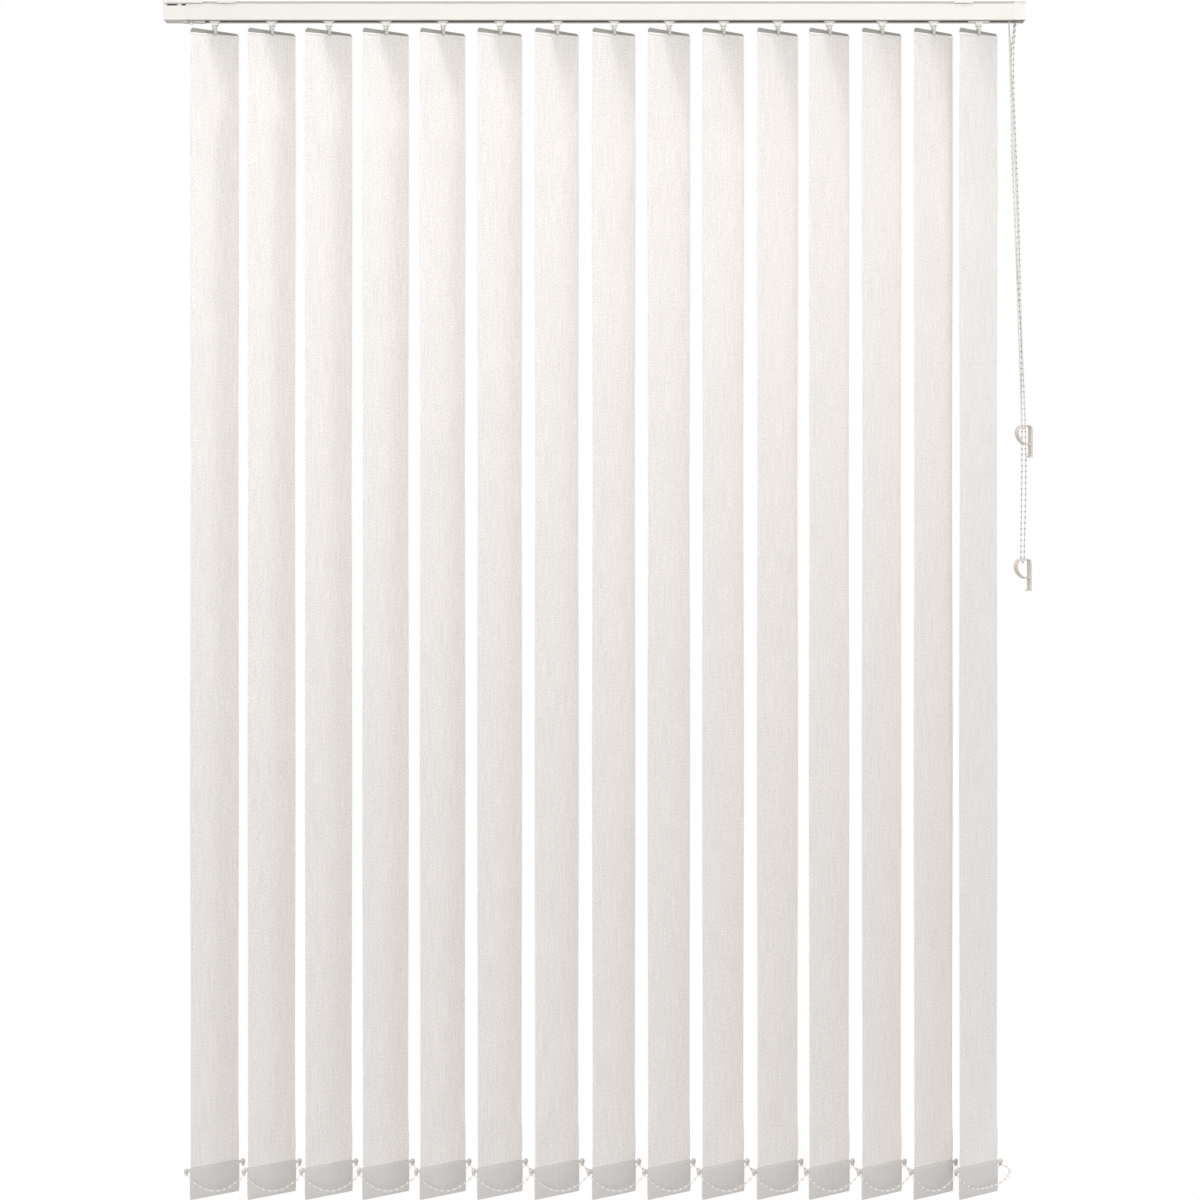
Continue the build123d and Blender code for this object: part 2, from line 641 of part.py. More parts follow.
def hexagon(flats):
    """A hexagon of the width across flats given, facing along X at the rod."""
    plane = Plane(origin=(0, ROD_Y, ROD_Z), x_dir=(0, 1, 0), z_dir=(1, 0, 0))
    return plane * RegularPolygon(flats / 2, 6, major_radius=False)


def make_tilt_rod():
    """The six-sided rod that turns every carrier's gear."""
    return Pos(ROD_LEFT, 0, 0) * extrude(hexagon(ROD_FLATS), amount=ROD_RIGHT - ROD_LEFT, dir=(1, 0, 0))


def make_sprocket():
    """A drum between two notched flanges: the beads lie in the notches."""
    plane = Plane(origin=(0, ROD_Y, ROD_Z), x_dir=(0, 1, 0), z_dir=(1, 0, 0))
    drum = plane * RegularPolygon(DRUM_R, 2 * SPROCKET_POCKETS)
    wheel = Pos(-FLANGE_OUT, 0, 0) * extrude(drum, amount=2 * FLANGE_OUT, dir=(1, 0, 0))
    outline = []
    tooth_shares = ((-0.22, NOTCH_R), (0.22, NOTCH_R), (0.3, FLANGE_R), (0.7, FLANGE_R))
    for pocket in range(SPROCKET_POCKETS):
        for share, radius in tooth_shares:
            turn = 2 * math.pi * (pocket + share) / SPROCKET_POCKETS
            outline.append((radius * math.cos(turn), radius * math.sin(turn)))
    star = plane * Polygon(*outline, align=None)
    for foot in (-FLANGE_OUT, FLANGE_IN):
        wheel += Pos(foot, 0, 0) * extrude(star, amount=FLANGE_OUT - FLANGE_IN, dir=(1, 0, 0))
    bore = extrude(hexagon(ROD_FLATS + SEAT_GAP), amount=2 * FLANGE_OUT, dir=(1, 0, 0))
    return Pos(SPROCKET_X, 0, 0) * (wheel - Pos(-FLANGE_OUT, 0, 0) * bore)


def inner_outline(points, band):
    """A convex outline drawn in by the width of a band."""
    lines = []
    for (x0, y0), (x1, y1) in zip(points, points[1:] + points[:1]):
        run = math.dist((x0, y0), (x1, y1))
        nx, ny = (y0 - y1) / run, (x1 - x0) / run
        lines.append((nx, ny, nx * x0 + ny * y0 + band))
    inner = []
    for (a, b, c), (d, e, f) in zip(lines[-1:] + lines[:-1], lines):
        cross = a * e - b * d
        inner.append(((c * e - b * f) / cross, (a * f - c * d) / cross))
    return inner


def make_hook(at, cord_r):
    """A strap bent to a bowl and a leg; the cord turns round the bridge in its top."""
    right = HOOK_LOOP_WIDTH / 2
    shares = HOOK_RIGHT_SHARES + HOOK_LEFT_SHARES + HOOK_FOOT_SHARES
    outline = [(right * across, HOOK_LOOP_HEIGHT * down) for across, down in shares]
    shape = Polygon(*outline, align=None)
    shape -= Polygon(*inner_outline(outline, HOOK_BAND), align=None)
    leg_top = HOOK_LOOP_HEIGHT * HOOK_RIGHT_SHARES[1][1]
    leg_height = HOOK_LEG + leg_top
    leg = Pos(right - HOOK_LEG_THICK / 2, leg_top - leg_height / 2)
    foot = Pos(right - HOOK_FOOT / 2, -HOOK_LEG + HOOK_BAND / 2)
    shape += leg * Rectangle(HOOK_LEG_THICK, leg_height)
    shape += foot * Rectangle(HOOK_FOOT, HOOK_BAND)
    strap = extrude(Plane.XZ * shape, amount=HOOK_WIDTH / 2, both=True)
    way = cord_r + HOOK_WAY_GAP
    for side in (-1, 1):
        x = side * STRAND_HALF
        strap -= block(x - way, x + way, -way, way, -2 * HOOK_BAND, OVERRUN)
    return Pos(*at) * (Rot(0, 0, HOOK_TURN) * strap)


def save(shape, node):
    """Write one node to its own STEP file."""
    export_step(shape, "parts/" + node + ".step")


def main():
    os.makedirs("parts", exist_ok=True)
    save(make_headrail(), "headrail")
    save(make_left_cap(), "left_end_cap")
    save(make_right_cap(), "right_end_cap")
    save(make_mounting_clips(), "mounting_clips")
    save(make_end_bracket(), "end_bracket")
    save(make_tilt_rod(), "tilt_rod")
    save(make_sprocket(), "chain_sprocket")
    save(make_idler_pulley(), "idler_pulley")
    save(make_control_pulley(), "control_pulley")
    save(make_tilt_chain(), "tilt_chain")
    save(make_traverse_cord(), "traverse_cord")
    save(make_hook(CORD_HOOK_AT, CORD_R), "cord_hook")
    save(make_hook(CHAIN_HOOK_AT, BEAD_R), "chain_hook")
    save(make_bottom_chain(-1), "front_bottom_chain")
    save(make_bottom_chain(1), "back_bottom_chain")
    plain, lead = make_carrier(CARRIER_LENGTH, False), make_carrier(LEAD_LENGTH, True)
    stem, vane = make_stem(), make_vane()
    places = stem_places()
    for i, x in enumerate(places, start=1):
        number = f"{i:02d}"
        carrier = lead if i == len(places) else plain
        turned = Pos(x, 0, 0) * Rot(0, 0, VANE_TILT)
        save(Pos(x, 0, 0) * carrier, "carrier_" + number)
        save(turned * stem, "stem_" + number)
        save(turned * vane, "vane_" + number)


main()
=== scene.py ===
"""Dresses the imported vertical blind: woven vanes, bead chains, cords, painted and moulded finishes."""

import json
import math
import bmesh
import bpy
from mathutils import Matrix, Vector

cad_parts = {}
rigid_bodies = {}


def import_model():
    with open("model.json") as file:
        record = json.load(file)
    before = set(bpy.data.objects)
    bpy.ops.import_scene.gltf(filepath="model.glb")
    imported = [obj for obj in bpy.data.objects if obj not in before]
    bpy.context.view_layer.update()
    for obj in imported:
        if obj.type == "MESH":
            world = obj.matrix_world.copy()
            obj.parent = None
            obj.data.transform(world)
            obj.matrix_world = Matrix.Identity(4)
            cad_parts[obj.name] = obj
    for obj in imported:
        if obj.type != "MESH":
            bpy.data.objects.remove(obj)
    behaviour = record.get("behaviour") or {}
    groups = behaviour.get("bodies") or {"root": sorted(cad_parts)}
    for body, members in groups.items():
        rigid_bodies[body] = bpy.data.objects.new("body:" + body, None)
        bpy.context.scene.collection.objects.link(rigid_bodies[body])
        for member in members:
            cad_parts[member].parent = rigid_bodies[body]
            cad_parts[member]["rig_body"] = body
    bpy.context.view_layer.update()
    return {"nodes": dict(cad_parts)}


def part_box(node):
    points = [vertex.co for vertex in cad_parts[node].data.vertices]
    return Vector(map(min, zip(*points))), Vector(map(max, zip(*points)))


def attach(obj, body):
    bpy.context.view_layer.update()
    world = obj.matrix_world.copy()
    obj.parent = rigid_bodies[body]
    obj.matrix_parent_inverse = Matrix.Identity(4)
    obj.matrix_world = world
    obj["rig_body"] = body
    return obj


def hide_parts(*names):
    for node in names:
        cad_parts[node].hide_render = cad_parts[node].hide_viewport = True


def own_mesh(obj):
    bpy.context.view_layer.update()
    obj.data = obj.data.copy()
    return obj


bl_info = {
    "name": "Vertical blind",
    "version": (1, 0, 0),
    "blender": (4, 5, 0),
    "location": "View3D > Sidebar > Blind",
    "description": "Woven vanes, bead chains, cords and finishes around the packed blind",
    "category": "Add Mesh",
}

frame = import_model()
NODES = frame["nodes"]
NUMBERS = sorted(node.removeprefix("vane_") for node in NODES if node.startswith("vane_"))
LAST = NUMBERS[-1]
MM = 0.001
FULL_TURN = 2 * math.pi
REST_TILT = math.radians(45)
SMOOTH_ANGLE = math.radians(38)
SHARP_ANGLE = math.radians(28)
FLAT_ANGLE = math.radians(0.5)
SAME_PLACE = 1e-6


def paint(red, green, blue):
    """A linear colour from the 0 to 255 values that a screen shows."""
    shares = []
    for value in (red, green, blue):
        share = value / 255
        shares.append(share / 12.92 if share <= 0.04045 else ((share + 0.055) / 1.055) ** 2.4)
    return tuple(shares)


def middle_x(node):
    """The middle of a solid along the rail."""
    low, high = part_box(node)
    return (low.x + high.x) / 2


def length(label, text, millimetres):
    """A size that a user may change."""
    return bpy.props.FloatProperty(
        name=label, description=text, default=millimetres * MM, min=0.0, unit="LENGTH", precision=5
    )


def colour(label, text, value):
    """A colour that a user may change."""
    return bpy.props.FloatVectorProperty(
        name=label, description=text, default=value, size=3, min=0.0, max=1.0, subtype="COLOR"
    )


class BlindSizes(bpy.types.PropertyGroup):
    """Sizes of the dressed pieces."""

    vane_width: length("Vane width", "Width of one woven strip", 127.0)
    fabric: length("Fabric", "Thickness of the woven cloth", 0.7)
    hem: length("Hem", "Height of the pocket round the weight", 65.0)
    hem_thick: length("Hem thickness", "Thickness of the pocket with the weight in it", 3.0)
    band: length("Hanger band", "Height of the hanger strip that shows at the vane's near edge", 9.4)
    band_far: length("Far hanger band", "Height of the strip that shows at the far edge", 4.4)
    pocket: length("Top pocket", "Height from the strip's top to the weld of its pocket", 13.5)
    hanger_thick: length("Hanger thickness", "Thickness of the top pocket", 2.4)
    bead: length("Bead", "Radius of a bead on the tilt chain", 2.25)
    link_bead: length("Link bead", "Radius of a bead on the bottom chains", 2.7)
    string: length("String", "Radius of the string between beads", 0.65)
    pitch: length("Pitch", "Distance from bead to bead", 12.0)
    cord: length("Cord", "Radius of the traverse cord", 1.3)
    sag: length("Sag", "How far a bottom chain hangs between two vanes", 34.0)
    tilt: bpy.props.FloatProperty(
        name="Tilt", description="Turn of the vanes at rest", default=REST_TILT, subtype="ANGLE"
    )


class BlindColours(bpy.types.PropertyGroup):
    """Colours of the finishes."""

    fabric: colour("Fabric", "Woven cloth", paint(243, 239, 236))
    rail: colour("Rail", "Painted headrail", paint(229, 226, 220))
    cap: colour("Caps", "Moulded end caps", paint(231, 228, 222))
    clip: colour("Clips", "Mounting clips and end bracket", paint(226, 224, 220))
    carrier: colour("Carriers", "Moulded carriers", paint(232, 230, 226))
    stem: colour("Stems", "Moulded stems", paint(222, 219, 214))
    # Painted shade: the hangers are coloured dark grey for the shade that the rail casts over the vane tops
    hanger: colour("Hangers", "Strips at the tops of the vanes", paint(158, 154, 150))
    knob: colour("Knobs", "Chain clips on the weights", paint(220, 217, 212))
    bead: colour("Beads", "Chain beads and their string", paint(236, 232, 226))
    control: colour("Control beads", "Beads of the tilt chain", paint(190, 185, 178))
    cord: colour("Cord", "Braided traverse cord", paint(232, 229, 222))
    hook: colour("Hooks", "Strap hooks on the cord and the chain", paint(212, 205, 196))
    rod: colour("Rod", "Drawn tilt rod", paint(196, 196, 198))
    wheel: colour("Wheels", "Sprocket and pulleys", paint(222, 219, 214))


class Value:
    """A socket of a node tree that takes part in plain arithmetic."""

    def __init__(self, nodes, socket):
        self.nodes = nodes
        self.socket = socket

    def maths(self, operation, *operands):
        """A Math node on the operands given."""
        kind = "ShaderNodeMath"
        return self.nodes.add(kind, {"operation": operation}, dict(enumerate(operands)))

    def __add__(self, other):
        return self.maths("ADD", self, other)

    def __sub__(self, other):
        return self.maths("SUBTRACT", self, other)

    def __rsub__(self, other):
        return self.maths("SUBTRACT", other, self)

    def __mul__(self, other):
        return self.maths("MULTIPLY", self, other)

    __radd__ = __add__
    __rmul__ = __mul__

    def sine(self):
        """The sine of the value."""
        return self.maths("SINE", self)

    def magnitude(self):
        """The value without its sign."""
        return self.maths("ABSOLUTE", self)

    def clamped(self):
        """The value kept between nought and one."""
        return self.maths("MINIMUM", self.maths("MAXIMUM", self, 0.0), 1.0)

    def below(self, edge):
        """One where the value is under the edge, and nought elsewhere."""
        return self.maths("LESS_THAN", self, edge)

    def near(self, place, reach):
        """One where the value is within reach of the place."""
        return self.maths("COMPARE", self, place, reach)


class Nodes:
    """Adds nodes to one tree, of a material or of geometry."""

    def __init__(self, tree):
        self.tree = tree

    def add(self, kind, settings=None, values=None, output=0):
        """A node with its settings made first, then its sockets set or linked."""
        node = self.tree.nodes.new(kind)
        for name, value in (settings or {}).items():
            setattr(node, name, value)
        for name, value in (values or {}).items():
            self.put(node.inputs[name], value)
        return Value(self, node.outputs[output]) if node.outputs else node

    def put(self, socket, value):
        """Sets a socket, or links it where the value is another socket."""
        if isinstance(value, Value):
            self.tree.links.new(value.socket, socket)
        else:
            socket.default_value = value

    def mix(self, share, first, second):
        """A colour between two colours."""
        values = {0: share, 6: first, 7: second}
        return self.add("ShaderNodeMix", {"data_type": "RGBA"}, values, output=2)

    def noise(self, vector, scale, detail):
        """A soft noise from 0 to 1, stretched where each axis has its own scale."""
        if isinstance(scale, tuple):
            vector = self.add("ShaderNodeMapping", {}, {"Vector": vector, "Scale": scale})
            scale = 1.0
        values = {"Vector": vector, "Scale": scale, "Detail": detail}
        return self.add("ShaderNodeTexNoise", {}, values)


class Finish:
    """One material: a Principled shader and the nodes that feed it."""

    def __init__(self, name, **constants):
        self.material = bpy.data.materials.new(name)
        self.material.use_nodes = True
        tree = self.material.node_tree
        self.nodes = Nodes(tree)
        self.shader = tree.nodes["Principled BSDF"]
        for socket, value in constants.items():
            self.shader.inputs[socket.replace("_", " ")].default_value = value

    def feed(self, socket, value):
        """Links a value that changes over the surface to the shader."""
        self.nodes.put(self.shader.inputs[socket], value)

    def bump(self, height, strength, distance):
        """Raises the surface by a height."""
        values = {"Height": height, "Strength": strength, "Distance": distance}
        self.feed("Normal", self.nodes.add("ShaderNodeBump", {}, values))

    def place(self):
        """Object coordinates in metres."""
        return self.nodes.add("ShaderNodeTexCoord", {}, {}, output=3)

    def across_and_along(self):
        """The piece's own UV map, whose units are metres on the cloth and cords."""
        return self.nodes.add("ShaderNodeUVMap", {"uv_map": "UVMap"})

    def parts(self, vector):
        """The first two parts of a vector."""
        split = self.nodes.add("ShaderNodeSeparateXYZ", {}, {0: vector})
        return split, Value(self.nodes, split.socket.node.outputs[1])


def dimmed(value, share):
    """A colour with an alpha, darkened by a share."""
    return tuple(part * share for part in value) + (1.0,)


# Scales of the finishes' noises, three where the pattern has a direction
FLOW_SCALE = (30.0, 30.0, 90.0)
SKIN_SCALE = 900.0
PEEL_SCALE = 420.0
COAT_SCALE = 9.0
RAIL_LINE_SCALE = (1.5, 700.0, 700.0)
ROD_LINE_SCALE = (4.0, 2600.0, 2600.0)
WARP_SCALE = (300.0, 14.0, 1.0)
WEFT_SCALE = (230.0, 330.0, 1.0)
CLOTH_CLOUD_SCALE = (12.0, 5.0, 1.0)
FUZZ_SCALE = (2500.0, 2500.0, 500.0)
BEAD_SCALE = 300.0

# Lengths in the weave and the braid, and the heights that the finishes stand up
THREAD = 1.1 * MM
RIB = 5.3 * MM
SEAM_RISE = 0.8 * MM
SEAM_HALF = 0.9 * MM
BRAID_LAY = 4.8 * MM
BRAID_STRANDS = 4
SKIN_HEIGHT = 0.1 * MM
ROD_LINE_HEIGHT = 0.05 * MM
WEAVE_HEIGHT = 0.4 * MM
BRAID_HEIGHT = 0.3 * MM
FLOW_SHARE = 0.04
# The painted shade inside the rail and in its grooves begins this far behind the front faces
SHADE_SETBACK = 1.2 * MM
GROOVE_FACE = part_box("headrail")[1].y - SHADE_SETBACK


def moulded(name, value, roughness, gloss=0.45):
    """Moulded plastic: a fine spark-eroded skin, faint flow marks and an uneven gloss."""
    finish = Finish(name, Specular_IOR_Level=gloss)
    nodes = finish.nodes
    place = finish.place()
    flow = nodes.noise(place, FLOW_SCALE, 3.0)
    skin = nodes.noise(place, SKIN_SCALE, 2.0)
    tint = nodes.mix(flow, dimmed(value, 1 - FLOW_SHARE), dimmed(value, 1 + FLOW_SHARE))
    finish.feed("Base Color", tint)
    finish.feed("Roughness", roughness + (skin - 0.5) * 0.16)
    finish.bump(skin, 0.12, SKIN_HEIGHT)
    return finish.material


def painted(name, value):
    """Stoved white paint on drawn metal: orange peel, draw lines, and painted shade inside the rail and in
    its grooves.
    """
    finish = Finish(name, Specular_IOR_Level=0.2)
    nodes = finish.nodes
    place = finish.place()
    peel = nodes.noise(place, PEEL_SCALE, 2.0)
    lines = nodes.noise(place, RAIL_LINE_SCALE, 2.0)
    cloud = nodes.noise(place, COAT_SCALE, 2.0)
    paint_coat = nodes.mix(cloud, dimmed(value, 0.975), dimmed(value, 1.02))
    # Painted shade: the paint is darkened behind the front faces, inside the rail and in its grooves
    depth = finish.parts(place)[1].magnitude()
    groove_shade = depth.below(GROOVE_FACE)
    finish.feed("Base Color", nodes.mix(groove_shade * 0.8, paint_coat, dimmed(value, 0.66)))
    finish.feed("Roughness", 0.55 + lines * 0.14)
    finish.bump(peel * 0.7 + lines * 0.3, 0.1, SKIN_HEIGHT)
    return finish.material


def drawn_metal(name, value):
    """Bare drawn aluminium with lines along its length."""
    finish = Finish(name, Metallic=1.0)
    nodes = finish.nodes
    lines = nodes.noise(finish.place(), ROD_LINE_SCALE, 3.0)
    finish.feed("Base Color", nodes.mix(lines, dimmed(value, 0.82), dimmed(value, 1.05)))
    finish.feed("Roughness", 0.26 + lines * 0.2)
    finish.bump(lines, 0.1, ROD_LINE_HEIGHT)
    return finish.material


def woven(name, value, hem_height):
    """Slub weave: uneven threads both ways, a fine plain weave, and a denser hem with its seam."""
    finish = Finish(name, Specular_IOR_Level=0.2, Sheen_Weight=0.12, Sheen_Roughness=0.5)
    nodes = finish.nodes
    cloth = finish.across_and_along()
    across, along = finish.parts(cloth)
    warp_slub = nodes.noise(cloth, WARP_SCALE, 2.0)
    weft_slub = nodes.noise(cloth, WEFT_SCALE, 1.0)
    cloud = nodes.noise(cloth, CLOTH_CLOUD_SCALE, 2.0)
    thread_turn = FULL_TURN / THREAD
    weave = (across * thread_turn).sine() * (along * thread_turn).sine()
    ribs = (across * (FULL_TURN / RIB)).sine()
    slubs = warp_slub * 0.34 + weft_slub * 0.66
    seam = along.near(hem_height + SEAM_RISE, SEAM_HALF)
    hem = along.below(hem_height)
    light = (slubs - 0.5) * 3.0 + (cloud - 0.5) * 0.2 + 0.5 + weave * 0.05 + ribs * 0.1
    body = nodes.mix(light, dimmed(value, 0.86), dimmed(value, 1.1))
    doubled = nodes.mix(hem * 0.66, body, dimmed(value, 0.7))
    finish.feed("Base Color", nodes.mix(seam * 0.5, doubled, dimmed(value, 0.5)))
    finish.feed("Roughness", 0.78 + slubs * 0.16)
    finish.bump(slubs * 0.7 + weave * 0.3, 0.3, WEAVE_HEIGHT)
    return finish.material


def braided(name, value):
    """Braided cord: crossing strands that follow the cord."""
    finish = Finish(name, Specular_IOR_Level=0.25, Sheen_Weight=0.1)
    nodes = finish.nodes
    around, along = finish.parts(finish.across_and_along())
    twist = along * (FULL_TURN / BRAID_LAY)
    spread = around * (BRAID_STRANDS * FULL_TURN)
    strands = (spread + twist).sine() * (spread - twist).sine()
    fuzz = nodes.noise(finish.place(), FUZZ_SCALE, 2.0)
    light = strands * 0.35 + fuzz * 0.3 + 0.35
    finish.feed("Base Color", nodes.mix(light, dimmed(value, 0.74), dimmed(value, 1.06)))
    finish.feed("Roughness", 0.7 + fuzz * 0.2)
    finish.bump(strands, 0.5, BRAID_HEIGHT)
    return finish.material


def beadwork(name, value):
    """Cast beads with a soft and slightly uneven gloss."""
    finish = Finish(name, Specular_IOR_Level=0.5)
    nodes = finish.nodes
    skin = nodes.noise(finish.place(), BEAD_SCALE, 2.0)
    finish.feed("Base Color", nodes.mix(skin, dimmed(value, 0.93), dimmed(value, 1.03)))
    finish.feed("Roughness", 0.24 + skin * 0.16)
    finish.bump(skin, 0.05, SKIN_HEIGHT)
    return finish.material


def add_piece(name, mesh, body, slot, *nodes):
    """Puts a finished mesh in the scene, riding its body and standing for the solids named."""
    piece = bpy.data.objects.new(name, mesh)
    bpy.context.scene.collection.objects.link(piece)
    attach(piece, body)
    if nodes:
        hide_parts(*nodes)
    return piece


def plain_mesh(maker, name):
    """The evaluated mesh of an object, with its modifiers taken up in it."""
    graph = bpy.context.evaluated_depsgraph_get()
    mesh = bpy.data.meshes.new_from_object(maker.evaluated_get(graph), depsgraph=graph)
    mesh.name = name
    return mesh


def drop(maker):
    """Removes an object that only served to make a mesh."""
    bpy.data.objects.remove(maker)


def even_normals(mesh, name):
    """Smooth shading over rounded edges while the broad faces stay flat."""
    mesh.shade_smooth()
    mesh.set_sharp_from_angle(angle=SMOOTH_ANGLE)
    maker = bpy.data.objects.new(name + "_maker", mesh)
    bpy.context.scene.collection.objects.link(maker)
    maker.modifiers.new("Weigh", "WEIGHTED_NORMAL").keep_sharp = True
    bpy.context.view_layer.update()
    plain = plain_mesh(maker, name)
    drop(maker)
    return plain


ROUND_STEPS = 2


def rounded(work, width):
    """Rounds every sharp edge of a bmesh by a small width."""
    sharp = [e for e in work.edges if e.is_manifold and e.calc_face_angle(0.0) > SHARP_ANGLE]
    bmesh.ops.bevel(
        work, geom=sharp, offset=width, segments=ROUND_STEPS, profile=0.5, affect="EDGES",
        clamp_overlap=False,
    )


def softened(node, width, material):
    """A copy of a solid with its edges rounded, as paint and moulding leave them."""
    work = bmesh.new()
    work.from_mesh(NODES[node].data)
    bmesh.ops.remove_doubles(work, verts=work.verts, dist=SAME_PLACE)
    bmesh.ops.dissolve_limit(work, angle_limit=FLAT_ANGLE, verts=work.verts, edges=work.edges)
    rounded(work, width)
    bmesh.ops.triangulate(work, faces=[f for f in work.faces if len(f.verts) > 4])
    mesh = bpy.data.meshes.new(node + "_finished")
    work.to_mesh(mesh)
    work.free()
    mesh.materials.clear()
    mesh.materials.append(material)
    return even_normals(mesh, node + "_finished")


def body_of_node(node):
    """The body that a solid moves with."""
    return NODES[node]["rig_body"]


def refinish(node, width, material, slot):
    """A softened copy of a solid in its place."""
    return add_piece(node + "_finished", softened(node, width, material), body_of_node(node), slot, node)


CURVE_STEPS = 8
CURVE_ORDER = 3


def route_curve(name, runs):
    """A smooth curve with one NURBS spline for each run of route points."""
    data = bpy.data.curves.new(name, "CURVE")
    data.dimensions = "3D"
    data.resolution_u = CURVE_STEPS
    for points in runs:
        spline = data.splines.new("NURBS")
        spline.points.add(len(points) - 1)
        for spot, point in zip(spline.points, points):
            spot.co = (point[0], point[1], point[2], 1.0)
        spline.order_u = CURVE_ORDER
        spline.use_endpoint_u = True
    curve = bpy.data.objects.new(name, data)
    bpy.context.scene.collection.objects.link(curve)
    return curve


def route_points(curve):
    """The points along a curve, read from its NURBS splines."""
    bpy.context.view_layer.update()
    mesh = plain_mesh(curve, curve.name + "_line")
    points = [Vector(v.co) for v in mesh.vertices]
    bpy.data.meshes.remove(mesh)
    return [p for i, p in enumerate(points) if i == 0 or (p - points[i - 1]).length > SAME_PLACE]


def path_length(points):
    """The length of a line of points."""
    return sum((b - a).length for a, b in zip(points, points[1:]))


def tree_input(tree, name, kind):
    """Adds a named input to a geometry tree."""
    return tree.interface.new_socket(name, in_out="INPUT", socket_type=kind).identifier


def geometry_tree(name, inputs):
    """A new geometry tree, its nodes, its inputs as values, and their identifiers by name."""
    tree = bpy.data.node_groups.new(name, "GeometryNodeTree")
    tree.interface.new_socket("Geometry", in_out="OUTPUT", socket_type="NodeSocketGeometry")
    names = {label: tree_input(tree, label, kind) for label, kind in inputs}
    nodes = Nodes(tree)
    entry = tree.nodes.new("NodeGroupInput")
    values = {label: Value(nodes, entry.outputs[label]) for label in names}
    return tree, nodes, values, names


def close_tree(nodes, geometry, material):
    """Ends a geometry tree in real meshes with one material."""
    real = nodes.add("GeometryNodeRealizeInstances", {}, {0: geometry})
    dressed = nodes.add("GeometryNodeSetMaterial", {}, {"Geometry": real, "Material": material})
    end = nodes.tree.nodes.new("NodeGroupOutput")
    nodes.put(end.inputs[0], dressed)


BEAD_SEGMENTS = 8
BEAD_RINGS = 6
STRING_SIDES = 5


def bead_tree():
    """A tree that strings beads along the splines of a curve."""
    inputs = (
        ("Route", "NodeSocketObject"),
        ("Bead radius", "NodeSocketFloat"),
        ("String radius", "NodeSocketFloat"),
        ("Pitch", "NodeSocketFloat"),
        ("Material", "NodeSocketMaterial"),
    )
    tree, nodes, values, names = geometry_tree("bead_chain", inputs)
    info = nodes.add("GeometryNodeObjectInfo", {}, {"Object": values["Route"]})
    line = Value(nodes, info.socket.node.outputs["Geometry"])
    spots = nodes.add(
        "GeometryNodeCurveToPoints", {"mode": "LENGTH"}, {"Curve": line, "Length": values["Pitch"]}
    )
    merged = nodes.add("GeometryNodeMergeByDistance", {}, {"Geometry": spots, "Distance": MM})
    ball_values = {"Segments": BEAD_SEGMENTS, "Rings": BEAD_RINGS, "Radius": values["Bead radius"]}
    ball = nodes.add("GeometryNodeMeshUVSphere", {}, ball_values)
    smooth = nodes.add("GeometryNodeSetShadeSmooth", {}, {"Geometry": ball})
    beads = nodes.add("GeometryNodeInstanceOnPoints", {}, {"Points": merged, "Instance": smooth})
    ring_values = {"Resolution": STRING_SIDES, "Radius": values["String radius"]}
    ring = nodes.add("GeometryNodeCurvePrimitiveCircle", {}, ring_values)
    string_values = {"Curve": line, "Profile Curve": ring, "Fill Caps": True}
    string = nodes.add("GeometryNodeCurveToMesh", {}, string_values)
    both = tree.nodes.new("GeometryNodeJoinGeometry")
    nodes.put(both.inputs[0], string)
    nodes.put(both.inputs[0], beads)
    close_tree(nodes, Value(nodes, both.outputs[0]), values["Material"])
    return tree, names


def vane_tree():
    """A tree that hangs one piece of a vane on its stem, at the vane's tilt."""
    inputs = (
        ("Pattern", "NodeSocketObject"),
        ("Stem", "NodeSocketVector"),
        ("Tilt", "NodeSocketFloat"),
        ("Material", "NodeSocketMaterial"),
    )
    tree, nodes, values, names = geometry_tree("hung_vane", inputs)
    info = nodes.add("GeometryNodeObjectInfo", {}, {"Object": values["Pattern"], "As Instance": True})
    shape = Value(nodes, info.socket.node.outputs["Geometry"])
    spot = nodes.add("GeometryNodePoints", {}, {"Count": 1, "Position": values["Stem"]})
    turn = nodes.add("ShaderNodeCombineXYZ", {}, {"Z": values["Tilt"]})
    hung = nodes.add(
        "GeometryNodeInstanceOnPoints", {}, {"Points": spot, "Instance": shape, "Rotation": turn}
    )
    close_tree(nodes, hung, values["Material"])
    return tree, names


def grown(tree, names, name, settings):
    """The plain mesh that a geometry tree gives with the inputs set by identifier."""
    maker = bpy.data.objects.new(name + "_maker", bpy.data.meshes.new(name + "_seed"))
    bpy.context.scene.collection.objects.link(maker)
    modifier = maker.modifiers.new("Grow", "NODES")
    modifier.node_group = tree
    for label, value in settings.items():
        modifier[names[label]] = value
    bpy.context.view_layer.update()
    mesh = plain_mesh(maker, name)
    maker.modifiers.remove(modifier)
    drop(maker)
    return mesh


def bead_settings(curve, bead, material):
    """Inputs of the bead tree for one chain."""
    sizes = bpy.context.scene.blind_sizes
    return {
        "Route": curve,
        "Bead radius": bead,
        "String radius": sizes.string,
        "Pitch": sizes.pitch,
        "Material": material,
    }


def chain_piece(name, runs, bead, body, lay, material, *nodes):
    """A bead chain along its route."""
    tree, names = bead_tree()
    curve = route_curve(name + "_route", runs)
    points = route_points(curve)
    mesh = grown(tree, names, name, bead_settings(curve, bead, material))
    piece = add_piece(name, mesh, body, "bead", *nodes)
    drop(curve)
    path_length(points)
    return piece


